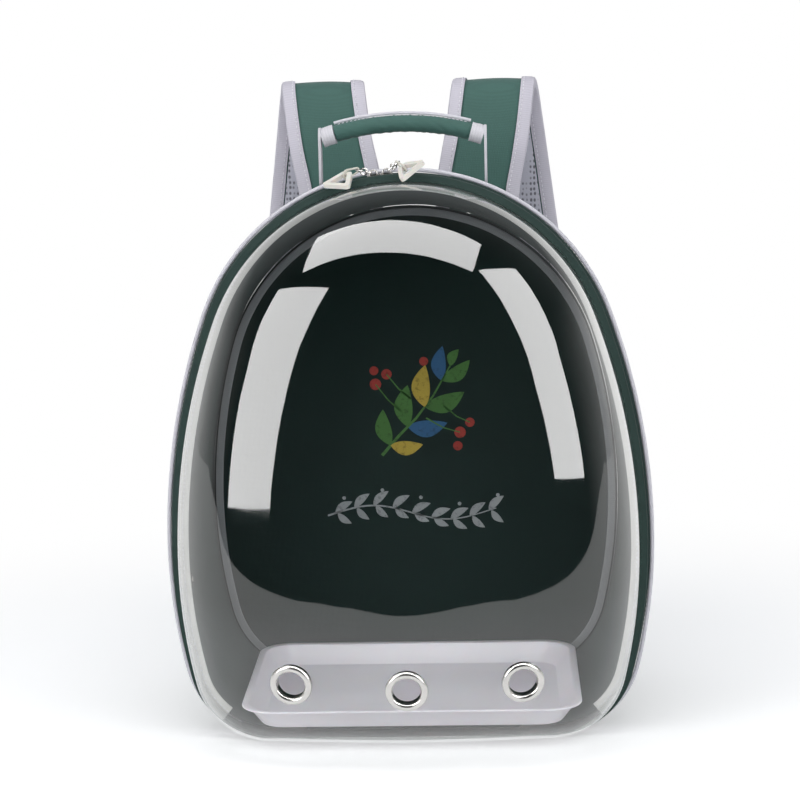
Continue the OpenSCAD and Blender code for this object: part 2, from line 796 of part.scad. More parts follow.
// Centre line of the right strap: up from the top seam, over, and down behind the back
STRAP_KNOTS = [
    strap_root,
    [55, back_y + 8, 400],
    [62, back_y + 12, 436],
    [67, back_y + 26, strap_top_z - 12],
    [69, back_y + 44, strap_top_z - 5],
    [72, back_y + 60, strap_top_z - 16],
    [77, back_y + 70, 430],
    [86, back_y + 73, 360],
    [96, back_y + 70, 280],
    [107, back_y + 62, 190]
];
KNOT_STEPS = 3;
knot_end = len(STRAP_KNOTS) - 1;

// Smooth curve through the knots
function spline(k, u) =
    let (
        a = STRAP_KNOTS[max(k - 1, 0)], b = STRAP_KNOTS[k],
        c = STRAP_KNOTS[k + 1], d = STRAP_KNOTS[min(k + 2, knot_end)]
    )
    0.5 * (2 * b + (c - a) * u + (2 * a - 5 * b + 4 * c - d) * u^2 + (3 * b - a - 3 * c + d) * u^3);

strap_path = concat(
    [for (k = [0 : knot_end - 1], j = [0 : KNOT_STEPS - 1]) spline(k, j / KNOT_STEPS)],
    [STRAP_KNOTS[knot_end]]
);
strap_end = len(strap_path) - 1;

// Frame of the strap at point i: [centre, across, outward], outward being away from the wearer
function strap_frame(i) =
    let (
        t = unit(strap_path[min(i + 1, strap_end)] - strap_path[max(i - 1, 0)]),
        w = unit([1, 0, 0] - t[0] * t)
    )
    [strap_path[i], w, cross(w, t)];

// Thickness share at point i: thin where the strap is sewn in
function strap_fill(i) = min(1, 0.3 + i * 0.35);

// A profile of [across, outward] points carried along the strap
module along_strap(side, profile, from = 0, to = strap_end) {
    mirror([side < 0 ? 1 : 0, 0, 0])
    loft([for (i = [from : to])
        let (f = strap_frame(i), fill = strap_fill(i))
        [for (p = profile) f[0] + p[0] * f[1] + p[1] * fill * f[2]]]);
}

half_strap = strap_w / 2;
pad_in = -strap_t / 2;
pad_out = strap_t / 2;
bind_t = 1;
bind_in = half_strap - strap_binding_w;

// Padding with drawn-in edges, in green fabric
module strap_pad(side) {
    edge = half_strap - bind_t - seat;
    color([0.2, 0.42, 0.38])
    along_strap(side, [
        [-edge, pad_in + 1.5], [-bind_in - 0.5, pad_in], [bind_in + 0.5, pad_in], [edge, pad_in + 1.5],
        [edge, pad_out - 1.5], [bind_in, pad_out - 0.5], [0, pad_out + 0.5], [-bind_in, pad_out - 0.5],
        [-edge, pad_out - 1.5]
    ]);
}

// Spacer mesh on the wearer's side
module strap_mesh(side) {
    color([0.7, 0.7, 0.73])
    along_strap(side, [
        [-bind_in + 0.5, pad_in - seat - mesh_t], [bind_in - 0.5, pad_in - seat - mesh_t],
        [bind_in - 0.5, pad_in - seat], [-bind_in + 0.5, pad_in - seat]
    ], 1);
}

// Binding tape folded over both edges of the padding
module strap_binding(side) {
    outside = pad_out + bind_t;
    inside = pad_in - bind_t;
    color([0.84, 0.83, 0.87])
    for (s = [-1, 1]) along_strap(side, s > 0
        ? binding_profile(outside, inside)
        : [for (k = [7 : -1 : 0]) let (p = binding_profile(outside, inside)[k]) [-p[0], p[1]]]);
}

function binding_profile(outside, inside) = [
    [bind_in + 0.5, inside - 0.2], [half_strap, inside + 1], [half_strap, outside - 1],
    [bind_in + 0.5, outside], [bind_in + 0.5, outside - bind_t + 0.2],
    [half_strap - bind_t, outside - bind_t - 0.8], [half_strap - bind_t, inside + bind_t + 0.8],
    [bind_in + 0.5, inside + bind_t - 0.5]
];

// The webbing's straight run, from the strap's end to the anchor at the base
anchor_at = [124, back_y + 9, 34];
run = anchor_at - STRAP_KNOTS[knot_end];
run_len = norm(run);
adjuster_h = 30;
adjuster_t = 5;
slot_gap = webbing_t + 1;

run_z = unit(run);
run_x = unit([1, 0, 0] - run_z[0] * run_z);
run_y = cross(run_z, run_x);

// Frame on the webbing's run: origin at the strap's end, X across the webbing, Z down the run
module on_run(side) {
    o = STRAP_KNOTS[knot_end];
    mirror([side < 0 ? 1 : 0, 0, 0])
    multmatrix([
        [run_x[0], run_y[0], run_z[0], o[0]],
        [run_x[1], run_y[1], run_z[1], o[1]],
        [run_x[2], run_y[2], run_z[2], o[2]],
        [0, 0, 0, 1]
    ]) children();
}

// Ladder lock: side rails joined by bars, with the webbing running flat between them
module adjuster(side) {
    rail = 4;
    width = webbing_w + 2 * rail + 1;
    bars = [0, 0.42, 0.84];
    color([0.1, 0.1, 0.11])
    on_run(side) translate([0, 0, seat + 1.2]) {
        for (s = [-1, 1]) translate([s * (width - rail) / 2 - rail / 2, -adjuster_t / 2, 0])
            cube([rail, adjuster_t, adjuster_h]);
        for (b = bars, s = [-1, 1])
            translate([-width / 2 + 1, s > 0 ? slot_gap / 2 : -adjuster_t / 2, b * adjuster_h])
                cube([width - 2, adjuster_t / 2 - slot_gap / 2, adjuster_h * 0.16]);
    }
}

module strap_webbing(side) {
    color([0.3, 0.32, 0.33])
    on_run(side) translate([-webbing_w / 2, -webbing_t / 2, 8])
        cube([webbing_w, webbing_t, run_len - 12]);
}

// Triangular tab sewn into the bottom corner of the back
module strap_anchor(side) {
    t = 3;
    color([0.13, 0.28, 0.24])
    mirror([side < 0 ? 1 : 0, 0, 0])
    translate([0, back_y + 2 * piping_r + 2 * seat + t, 0]) rotate([90, 0, 0]) linear_extrude(t)
        polygon([[109, 4], [150, 26], [137, 46], [111, 42]]);
}

// Yoke that the straps are sewn to, along the top of the back
module strap_yoke() {
    h = 26;
    t = 3.6;
    color([0.13, 0.28, 0.24])
    translate([-strap_root[0] - half_strap, back_y + 2 * piping_r + 2 * seat, strap_root[2] - h - 2 * seat])
        cube([2 * (strap_root[0] + half_strap), t, h]);
}

base_panel();
floor_pad();
gusset();
back_panel();
back_lining();
seam_binding();
rear_piping();
back_pad();
front_piping();
zip_tape_cabin();
hinge_strip();
vent_eyelets(-1);  // vent_eyelets_left
vent_eyelets(1);  // vent_eyelets_right
handle_anchors();
strap_yoke();
strap_anchor(-1);  // strap_anchor_left
strap_anchor(1);  // strap_anchor_right
dome();
dome_eyelet(-1);  // dome_eyelet_left
dome_eyelet(0);  // dome_eyelet_center
dome_eyelet(1);  // dome_eyelet_right
rim_band();
rim_binding();
zip_tape_door();
slider(slider_left_at);  // slider_left
slider(slider_right_at);  // slider_right
pull_chain(slider_left_at, -1);  // pull_chain_left
pull_chain(slider_right_at, 1);  // pull_chain_right
pull_cord(slider_left_at, -1);  // pull_cord_left
pull_cord(slider_right_at, 1);  // pull_cord_right
pull_tab(slider_left_at, -1);  // pull_tab_left
pull_tab(slider_right_at, 1);  // pull_tab_right
handle_webbing();
handle_grip();
handle_piping();
strap_pad(-1);  // strap_pad_left
strap_pad(1);  // strap_pad_right
strap_mesh(-1);  // strap_mesh_left
strap_mesh(1);  // strap_mesh_right
strap_binding(-1);  // strap_binding_left
strap_binding(1);  // strap_binding_right
adjuster(-1);  // adjuster_left
adjuster(1);  // adjuster_right
strap_webbing(-1);  // strap_webbing_left
strap_webbing(1);  // strap_webbing_right
tray();
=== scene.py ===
"""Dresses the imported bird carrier: fabric, clear dome, metal, printed lining and studio."""
from math import asin, atan2, cos, degrees, exp, hypot, pi, radians, sin, sqrt

import bmesh
import bpy
from mathutils import Matrix, Vector, noise


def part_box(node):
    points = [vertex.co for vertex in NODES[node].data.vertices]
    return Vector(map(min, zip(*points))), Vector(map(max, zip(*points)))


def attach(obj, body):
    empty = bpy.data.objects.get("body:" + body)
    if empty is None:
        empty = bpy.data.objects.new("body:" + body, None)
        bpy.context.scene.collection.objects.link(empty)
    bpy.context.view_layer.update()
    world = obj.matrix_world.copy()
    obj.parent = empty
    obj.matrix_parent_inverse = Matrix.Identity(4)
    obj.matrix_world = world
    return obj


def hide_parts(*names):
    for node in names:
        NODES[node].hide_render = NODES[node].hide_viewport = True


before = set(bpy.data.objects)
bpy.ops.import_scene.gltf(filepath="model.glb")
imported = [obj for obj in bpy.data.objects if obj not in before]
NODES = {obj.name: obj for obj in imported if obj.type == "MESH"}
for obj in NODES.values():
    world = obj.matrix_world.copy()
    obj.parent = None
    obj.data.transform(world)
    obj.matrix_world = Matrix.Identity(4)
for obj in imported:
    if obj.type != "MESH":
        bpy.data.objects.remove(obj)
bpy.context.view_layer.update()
MM = 0.001

# ---------- the carrier's outlines, in millimetres ----------

SEAT = 0.3                       # gap between pieces that lie on each other
FRONT_Y, BACK_Y = -85.0, 85.0    # foot of the door's plane, and the back board's outside
RING_LIFT, LEAN = 1.0, 3.5       # the door's foot over the floor, and its lean backward in degrees
CABIN_EDGE_Y, ZIP_Y = 17.15, 9.65
WALL_T, WALL_SWELL, SWELL_FROM = 3.0, 8, 90    # the walls' thickness, bulge, and height where it is full
BOTTOM, ARCS = 6, (18, 12, 21, 36)    # stations on half the foot, and on each arc above it
BACK_H, LINING_Y = 388, 79.7


def arch(h, half_w, wide_z, side_r, low_r, corner_r):
    """Stations (centre x, centre z, radius, angle) round an arched outline of tangent arcs."""
    side_x, low_x, rise = half_w - side_r, half_w - low_r, h - wide_z
    top_r = (side_r**2 - side_x**2 - rise**2) / (2 * (side_r - rise))
    top_z = h - top_r
    corner_x = low_x + sqrt((low_r - corner_r) ** 2 - (wide_z - corner_r) ** 2)
    side_end = atan2(top_z - wide_z, -side_x)
    corner_end = atan2(corner_r - wide_z, corner_x - low_x)
    down, up = -pi / 2, pi / 2
    half = [(corner_x * i / BOTTOM, corner_r, corner_r, down) for i in range(BOTTOM)]
    arcs = [
        (corner_x, corner_r, corner_r, down, corner_end, ARCS[0], 0),
        (low_x, wide_z, low_r, corner_end, 0.0, ARCS[1], 1),
        (side_x, wide_z, side_r, 0.0, side_end, ARCS[2], 1),
        (0.0, top_z, top_r, side_end, up, ARCS[3], 1),
    ]
    for cx, cz, r, start, end, n, first in arcs:
        half += [(cx, cz, r, start + (end - start) * i / n) for i in range(first, n + 1)]
    return half + [(-x, z, r, pi - a) for x, z, r, a in reversed(half[1:-1])]


def out(s, grow):
    """Point (x, z) of an outline at a station, moved outward by grow."""
    return s[0] + (s[2] + grow) * cos(s[3]), s[1] + (s[2] + grow) * sin(s[3])


RING = arch(420, 177, 145, 500, 400, 62)
FRONT = arch(420.8, 179.5, 145, 500, 400, 64.5)
BACK = arch(BACK_H, 166, 150, 450, 400, 75)
COUNT = len(RING)
APEX = COUNT // 2
TOP_Z, TOP_R = RING[APEX][1], RING[APEX][2]


def on_ring(p):
    """A point of the leaning door's frame, in the carrier's frame."""
    x, y, z = p
    c, s = cos(radians(LEAN)), sin(radians(LEAN))
    return Vector((x, FRONT_Y + y * c + z * s, RING_LIFT - y * s + z * c))


def wall_point(i, t, grow):
    """Point of the side wall's skin at station i, a share t of the way to the back."""
    f, b = out(FRONT[i], grow), out(BACK[i], grow)
    c, s = cos(radians(LEAN)), sin(radians(LEAN))
    y0 = FRONT_Y + CABIN_EDGE_Y * c + f[1] * s
    swell = WALL_SWELL * sin(pi * t) * min(1, f[1] / SWELL_FROM) * cos(FRONT[i][3])
    x = f[0] + (b[0] - f[0]) * t + swell
    z = f[1] * c * (1 - t) + b[1] * t
    return Vector((x, y0 + (BACK_Y - y0) * t, z))


# ---------- mesh making ----------


def spread(a, b, n):
    """Even values from a to b in n steps."""
    return [a + (b - a) * k / n for k in range(n + 1)]


def circle(n):
    """Angles of n even steps round a circle."""
    return [2 * pi * k / n for k in range(n)]


def grid(rows, cols, base=0):
    """Faces between rows of closed rings of points."""
    faces = []
    for a in range(base, base + (rows - 1) * cols, cols):
        faces += [(a + j, a + (j + 1) % cols, a + cols + (j + 1) % cols, a + cols + j) for j in range(cols)]
    return faces


def mirrored(side, p):
    """A point or direction of the right side, or its mirror for side -1."""
    return Vector((side * p[0], p[1], p[2]))


def new_mesh(name, verts, faces, uvs=None, smooth=35.0):
    """Object from millimetre vertices; uvs is one (u, v) in metres for each face corner."""
    mesh = bpy.data.meshes.new(name)
    mesh.from_pydata([Vector(v) * MM for v in verts], [], faces)
    if uvs:
        layer = mesh.uv_layers.new(name="run")
        k = 0
        for corners in uvs:
            for uv in corners:
                layer.data[k].uv = uv
                k += 1
    mesh.update()
    obj = bpy.data.objects.new(name, mesh)
    bpy.context.scene.collection.objects.link(obj)
    if smooth:
        mesh.shade_smooth()
        mesh.set_sharp_from_angle(angle=radians(smooth))
    return obj


def loft(name, loops, closed=False, smooth=35.0):
    """Skin over loops of points; u runs along the loops' row and v round each loop."""
    n, m = len(loops), len(loops[0])
    verts = [p for loop in loops for p in loop]
    us = [0.0]
    for i in range(n):
        a, b = loops[i], loops[(i + 1) % n]
        us.append(us[-1] + (Vector(b[0]) - Vector(a[0])).length * MM)
    vs = [0.0]
    for j in range(m):
        vs.append(vs[-1] + (Vector(loops[0][(j + 1) % m]) - Vector(loops[0][j])).length * MM)
    faces, uvs = [], []
    for i in range(n if closed else n - 1):
        for j in range(m):
            k = (j + 1) % m
            i2 = (i + 1) % n
            faces.append((i * m + j, i * m + k, i2 * m + k, i2 * m + j))
            uvs.append(((us[i], vs[j]), (us[i], vs[j + 1]), (us[i + 1], vs[j + 1]), (us[i + 1], vs[j])))
    if not closed:
        faces.append(tuple(reversed(range(m))))
        faces.append(tuple((n - 1) * m + j for j in range(m)))
        uvs += [[(0, v) for v in reversed(vs[:m])], [(us[n - 1], v) for v in vs[:m]]]
    obj = new_mesh(name, verts, faces, uvs, smooth)
    fix_normals(obj)
    return obj


def fix_normals(obj, weld=0.0):
    """Turns all faces outward, after welding points that lie closer than weld metres."""
    bm = bmesh.new()
    bm.from_mesh(obj.data)
    if weld:
        bmesh.ops.remove_doubles(bm, verts=bm.verts, dist=weld)
    bmesh.ops.recalc_face_normals(bm, faces=bm.faces)
    bm.to_mesh(obj.data)
    bm.free()


def ruffle(obj, amount, scale, stretch=(1, 1, 1), seed=0.0):
    """Moves vertices along their normals by smooth noise: amount in mm, scale per metre."""
    mesh = obj.data
    normals = [v.normal.copy() for v in mesh.vertices]
    for v, n in zip(mesh.vertices, normals):
        p = Vector((v.co.x * stretch[0], v.co.y * stretch[1], v.co.z * stretch[2])) * scale
        v.co += n * noise.noise(p + Vector((seed, seed * 2.3, 0))) * amount * MM
    mesh.update()


def beside(station, grow, y, place=on_ring):
    """Point beside an outline's station, at depth y, in the door's frame unless place says otherwise."""
    x, z = out(station, grow)
    return place((x, y, z))


def follow(name, stations, profile, start=0, place=on_ring):
    """A profile of (grow, y) carried round an outline, all of it or from start to its mirror."""
    last = len(stations) - 1 if start == 0 else len(stations) - start
    loops = [[beside(stations[i], grow, y, place) for grow, y in profile] for i in range(start, last + 1)]
    return loft(name, loops, closed=start == 0)


def bead(grow, y, r, sides=14):
    """Round profile of a piping."""
    return [(grow + r * cos(-a), y + r * sin(-a)) for a in circle(sides)]


def rounded(x0, x1, y0, y1, r, n=3):
    """Rectangle profile with rounded corners."""
    pts = []
    for cx, cy, a in ((x1 - r, y1 - r, 0), (x0 + r, y1 - r, 90), (x0 + r, y0 + r, 180), (x1 - r, y0 + r, 270)):
        for k in range(n + 1):
            t = radians(a + 90 * k / n)
            pts.append((cx + r * cos(t), cy + r * sin(t)))
    return pts


def tube(name, path, r, sides=12, closed=False, smooth=60.0):
    """Round tube along points."""
    n = len(path)
    path = [Vector(p) for p in path]
    loops, u = [], None
    for i in range(n):
        a = path[(i - 1) % n] if closed else path[max(i - 1, 0)]
        b = path[(i + 1) % n] if closed else path[min(i + 1, n - 1)]
        t = (b - a).normalized()
        if u is None:
            u = t.orthogonal().normalized()
        u = (u - t * u.dot(t)).normalized()
        v = t.cross(u)
        loops.append([path[i] + r * (cos(k) * u + sin(k) * v) for k in circle(sides)])
    return loft(name, loops, closed=closed, smooth=smooth)


def cut(obj, cutters):
    """Cuts closed shapes out of an object and removes them."""
    for c in cutters:
        mod = obj.modifiers.new("cut", "BOOLEAN")
        mod.operation = "DIFFERENCE"
        mod.solver = "EXACT"
        mod.object = c
    dg = bpy.context.evaluated_depsgraph_get()
    mesh = bpy.data.meshes.new_from_object(obj.evaluated_get(dg))
    obj.modifiers.clear()
    obj.data = mesh
    for c in cutters:
        bpy.data.objects.remove(c, do_unlink=True)


def drum(name, matrix, r, h, sides=48):
    """Cylinder along a frame's Z, centred on it, in millimetres."""
    loops = [[matrix @ Vector((r * cos(a), r * sin(a), z)) for a in circle(sides)] for z in (-h / 2, h / 2)]
    return loft(name, loops)


def frame_at(point, normal):
    """Frame at a point with its Z along a normal."""
    z = Vector(normal).normalized()
    x = z.orthogonal().normalized()
    m = Matrix((x, z.cross(x), z)).transposed().to_4x4()
    m.translation = Vector(point)
    return m


def dress(obj, body, material, *nodes, slot=None, pad=None):
    """Gives a piece its material, its body and the CAD nodes that it stands for."""
    obj.data.materials.append(material)
    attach(obj, body)
    if nodes:
        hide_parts(*nodes)


# ---------- materials ----------


class Nodes:
    """A material or world whose shader nodes are added and linked by socket name."""

    def __init__(self, name, world=False):
        self.owner = bpy.data.worlds.new(name) if world else bpy.data.materials.new(name)
        self.owner.use_nodes = True
        self.tree = self.owner.node_tree
        self.tree.nodes.clear()
        self.output = self.tree.nodes.new("ShaderNodeOutputWorld" if world else "ShaderNodeOutputMaterial")

    def add(self, kind, ins=None, **props):
        node = self.tree.nodes.new("ShaderNode" + kind)
        for k, v in props.items():
            setattr(node, k, v)
        for k, v in (ins or {}).items():
            socket = node.inputs[k]
            if isinstance(v, bpy.types.NodeSocket):
                self.tree.links.new(v, socket)
            else:
                socket.default_value = v
        return node

    def show(self, shader):
        """Sends a shader to the output and gives the material or world back."""
        self.tree.links.new(shader.outputs[0], self.output.inputs[0])
        return self.owner

    def math(self, op, a, b=0.0):
        return self.add("Math", {0: a, 1: b}, operation=op).outputs[0]

    def mad(self, a, b, c):
        return self.add("Math", {0: a, 1: b, 2: c}, operation="MULTIPLY_ADD").outputs[0]

    def mix(self, share, a, b, mode="MIX"):
        return self.add("Mix", {0: share, 6: a, 7: b}, data_type="RGBA", blend_type=mode).outputs[2]

    def ramp(self, value, stops, interpolation="LINEAR"):
        node = self.add("ValToRGB", {0: value})
        r = node.color_ramp
        r.interpolation = interpolation
        while len(r.elements) < len(stops):
            r.elements.new(1.0)
        for e, (at, colour) in zip(r.elements, stops):
            e.position = at
            e.color = colour
        return node.outputs[0]

    def coords(self, scale=(1.0, 1.0, 1.0)):
        place = self.add("TexCoord").outputs["Object"]
        return self.add("Mapping", {"Vector": place, "Scale": scale}).outputs[0]

    def noise(self, vector, scale, detail=4.0, rough=0.55):
        return self.add("TexNoise", {"Vector": vector, "Scale": scale, "Detail": detail,
                                     "Roughness": rough}).outputs["Fac"]

    def bump(self, height, strength, distance, normal=None):
        ins = {"Height": height, "Strength": strength, "Distance": distance}
        if normal is not None:
            ins["Normal"] = normal
        return self.add("Bump", ins).outputs[0]

    def finish(self, **ins):
        return self.show(self.add("BsdfPrincipled", {k.replace("_", " "): v for k, v in ins.items()}))


def rgb(r, g, b):
    """Colour as seen on a screen (0-255), as linear light."""
    lin = [(c / 255 / 12.92) if c <= 10 else ((c / 255 + 0.055) / 1.055) ** 2.4 for c in (r, g, b)]
    return (*lin, 1.0)


def threads(n, pitch):
    """Plain weave's height, 0 to 1, whichever way the cloth faces."""
    xyz = n.add("SeparateXYZ", {0: n.coords()}).outputs
    sx, sy, sz = (n.math("SINE", n.math("MULTIPLY", axis, 2 * pi / pitch)) for axis in xyz)
    total = n.math("ADD", n.math("MULTIPLY", sx, sy), n.math("MULTIPLY", sy, sz))
    return n.mad(n.math("ADD", total, n.math("MULTIPLY", sx, sz)), 0.25, 0.5)


def tinted(base, gain, lift=0.0):
    """A colour made lighter or darker by gain, and greyer by lift."""
    return (*[min(1.0, c * gain + lift) for c in base[:3]], 1.0)


def fabric(name, base, pitch=0.0012, sheen=0.2, streak=0.14, wear=0.5, depth=0.35, crease=0.35):
    """Woven cloth: threads, uneven dye, soft creases and paler worn edges."""
    n = Nodes(name)
    co = n.coords()
    thread = threads(n, pitch)
    blotch = n.noise(co, 14.0, 5.0)
    grain = n.noise(co, 700.0, 3.0, 0.7)
    tone = n.math("ADD", n.math("MULTIPLY", blotch, 0.5), n.math("MULTIPLY", grain, 0.5))
    colour = n.mix(tone, tinted(base, 1 - 2 * streak), tinted(base, 1 + 2 * streak, 0.003))
    shade = n.ramp(thread, [(0.2, (0.7, 0.7, 0.7, 1)), (0.8, (1.06, 1.06, 1.06, 1))])
    colour = n.mix(0.6, colour, n.mix(1.0, colour, shade, "MULTIPLY"))
    edge = n.ramp(n.add("NewGeometry").outputs["Pointiness"], [(0.52, (0, 0, 0, 1)), (0.6, (1, 1, 1, 1))])
    colour = n.mix(n.math("MULTIPLY", n.math("MULTIPLY", edge, blotch), wear), colour, tinted(base, 1.45, 0.03))
    soft = n.bump(n.noise(co, 45.0, 3.0), crease, 0.0015)
    normal = n.bump(n.math("ADD", thread, n.math("MULTIPLY", grain, 0.4)), depth, 0.0002, soft)
    return n.finish(Base_Color=colour, Roughness=n.mad(grain, 0.14, 0.73), Normal=normal,
                    Sheen_Weight=sheen, Sheen_Roughness=0.45, Specular_IOR_Level=0.25)


def tape(name, base, pitch=0.0016):
    """Ribbed tape that runs along the piece's own length, with a finer weave across it."""
    n = Nodes(name)
    uv = n.add("SeparateXYZ", {0: n.add("UVMap", uv_map="run").outputs[0]}).outputs
    along = n.math("SINE", n.math("MULTIPLY", uv[0], 2 * pi / pitch))
    across = n.math("SINE", n.math("MULTIPLY", uv[1], 2 * pi / (pitch * 0.6)))
    rib = n.mad(n.math("MULTIPLY", along, n.mad(across, 0.5, 0.6)), 0.5, 0.5)
    co = n.coords()
    blotch, grain = n.noise(co, 25.0, 4.0), n.noise(co, 800.0, 2.0, 0.7)
    colour = n.mix(n.math("ADD", n.math("MULTIPLY", blotch, 0.6), n.math("MULTIPLY", grain, 0.4)),
                   tinted(base, 0.84), tinted(base, 1.06))
    # painted shade: the hollows between the ribs are darkened
    colour = n.mix(n.mad(rib, -0.3, 0.3), colour, tinted(base, 0.55))
    soft = n.bump(n.noise(co, 60.0, 2.0), 0.3, 0.001)
    normal = n.bump(rib, 0.5, 0.00018, soft)
    return n.finish(Base_Color=colour, Roughness=n.mad(grain, 0.12, 0.64), Normal=normal,
                    Sheen_Weight=0.12, Sheen_Roughness=0.5, Specular_IOR_Level=0.3)


def plastic(name, base, rough=0.35, subsurface=0.0):
    """Moulded plastic: faint mottling, fine moulded grain, and darker scuffs with softer gloss."""
    n = Nodes(name)
    co = n.coords()
    blotch, grain = n.noise(co, 18.0, 4.0), n.noise(co, 1600.0, 2.0, 0.6)
    scuff = n.ramp(n.noise(n.coords((60.0, 220.0, 60.0)), 3.0, 6.0, 0.7),
                   [(0.6, (0, 0, 0, 1)), (0.72, (1, 1, 1, 1))])
    colour = n.mix(blotch, tinted(base, 0.93), tinted(base, 1.04))
    colour = n.mix(n.math("MULTIPLY", scuff, 0.18), colour, tinted(base, 0.8, 0.02))
    roughness = n.math("ADD", n.mad(blotch, 0.12, rough - 0.06), n.math("MULTIPLY", scuff, 0.14))
    normal = n.bump(grain, 0.12, 0.0001)
    return n.finish(Base_Color=colour, Roughness=roughness, Normal=normal, Subsurface_Weight=subsurface,
                    Subsurface_Scale=0.004, Specular_IOR_Level=0.45)


def metal(name, base):
    """Plated metal: tarnish in patches and a fine grain of tiny pits."""
    n = Nodes(name)
    co = n.coords()
    blotch, fine = n.noise(co, 60.0, 5.0), n.noise(co, 1800.0, 3.0, 0.7)
    colour = n.mix(blotch, tinted(base, 0.8), tinted(base, 1.05))
    roughness = n.mad(blotch, 0.18, 0.15)
    return n.finish(Base_Color=colour, Metallic=1.0, Roughness=roughness, Normal=n.bump(fine, 0.12, 0.00006))


def mesh_cloth(name, base):
    """Spacer mesh: rows of rounded holes between raised threads."""
    n = Nodes(name)
    co = n.coords((1.0, 1.0, 0.72))
    cells = n.add("TexVoronoi", {"Vector": co, "Scale": 310.0, "Randomness": 0.22})
    hole = n.ramp(cells.outputs["Distance"], [(0.2, (0, 0, 0, 1)), (0.42, (1, 1, 1, 1))])
    blotch = n.noise(n.coords(), 22.0, 4.0)
    # painted shade: the holes are darkened to stand for the shade inside the open mesh
    colour = n.mix(hole, tinted(base, 0.3), n.mix(blotch, tinted(base, 0.9), tinted(base, 1.08)))
    return n.finish(Base_Color=colour, Roughness=n.mad(blotch, 0.1, 0.75), Normal=n.bump(hole, 0.7, 0.0006),
                    Sheen_Weight=0.2, Specular_IOR_Level=0.25)


def clear(name):
    """Clear formed sheet: it shows what is behind it, faintly tinted, and mirrors at a grazing angle."""
    n = Nodes(name)
    marks = n.ramp(n.noise(n.coords((30.0, 30.0, 9.0)), 6.0, 8.0, 0.75),
                   [(0.64, (0, 0, 0, 1)), (0.74, (1, 1, 1, 1))])
    wavy = n.bump(n.noise(n.coords(), 7.0, 2.0), 0.08, 0.004)
    through = n.add("BsdfTransparent", {"Color": (0.975, 0.985, 0.98, 1)})
    mirror = n.add("BsdfGlossy", {"Color": (1, 1, 1, 1), "Roughness": n.mad(marks, 0.08, 0.03), "Normal": wavy})
    facing = n.add("LayerWeight", {"Blend": 0.5, "Normal": wavy}).outputs["Facing"]
    share = n.mad(n.math("POWER", facing, 2.8), 0.9, 0.085)
    outside = n.math("SUBTRACT", 1.0, n.add("NewGeometry").outputs["Backfacing"])
    return n.show(n.add("MixShader", {0: n.math("MULTIPLY", share, outside), 1: through.outputs[0],
                                      2: mirror.outputs[0]}))


GREEN = fabric("green_fabric", rgb(22, 49, 44), pitch=0.0011)
STRAP_GREEN = fabric("strap_fabric", rgb(63, 103, 95), pitch=0.0013, depth=0.45)
DARK = fabric("dark_fabric", rgb(12, 40, 36), pitch=0.001, sheen=0.12, wear=0.2)
PIPING = fabric("piping_fabric", rgb(226, 224, 231), pitch=0.0009, streak=0.05, wear=0.1, crease=0.2)
BINDING = tape("pale_binding", rgb(214, 210, 221))
RIM_TAPE = tape("rim_tape", rgb(222, 219, 216))
SEAM_TAPE = tape("seam_tape", rgb(150, 152, 155))
WEBBING = tape("webbing", rgb(222, 220, 226), pitch=0.0021)
DARK_WEBBING = tape("dark_webbing", rgb(70, 74, 76), pitch=0.0021)
ZIP_TAPE = tape("zip_tape", rgb(228, 228, 232), pitch=0.0009)
COIL = plastic("zip_nylon", rgb(232, 232, 236), rough=0.4)
MESH = mesh_cloth("white_mesh", rgb(186, 186, 197))
CLEAR = clear("clear_sheet")
NICKEL = metal("nickel", rgb(205, 203, 200))
CREAM = plastic("cream_plastic", rgb(238, 233, 224), rough=0.4, subsurface=0.15)
CORD = fabric("cord", rgb(233, 229, 218), pitch=0.0007, streak=0.08, wear=0.0, crease=0.1)
TRAY = plastic("tray_plastic", rgb(250, 241, 250), rough=0.3, subsurface=0.1)
BLACK = plastic("grey_plastic", rgb(36, 37, 40), rough=0.42)
BOARD = fabric("base_board", rgb(30, 54, 49), pitch=0.0011)
STITCH = fabric("stitch_thread", rgb(236, 234, 240), pitch=0.0005, streak=0.06, wear=0.0, crease=0.0)
DARK_STITCH = fabric("dark_thread", rgb(30, 56, 49), pitch=0.0005, streak=0.06, wear=0.0, crease=0.0)


# ---------- cabin ----------

def wall_normal(i, t):
    """Outward direction of the side wall's skin."""
    across = wall_point(i, t + 0.05, 0) - wall_point(i, t - 0.05, 0)
    return across.cross(wall_point(i + 1, t, 0) - wall_point(i - 1, t, 0)).normalized()


def turned(name, matrix, profile, sides, smooth):
    """A profile of (radius, height) turned round a frame's Z."""
    loops = [[matrix @ Vector((r * cos(a), r * sin(a), z)) for r, z in profile] for a in circle(sides)]
    return loft(name, loops, closed=True, smooth=smooth)


def join(name, objs):
    """Joins pieces into one mesh."""
    with bpy.context.temp_override(active_object=objs[0], selected_editable_objects=objs,
                                   selected_objects=objs, object=objs[0]):
        bpy.ops.object.join()
    objs[0].name = name
    return objs[0]


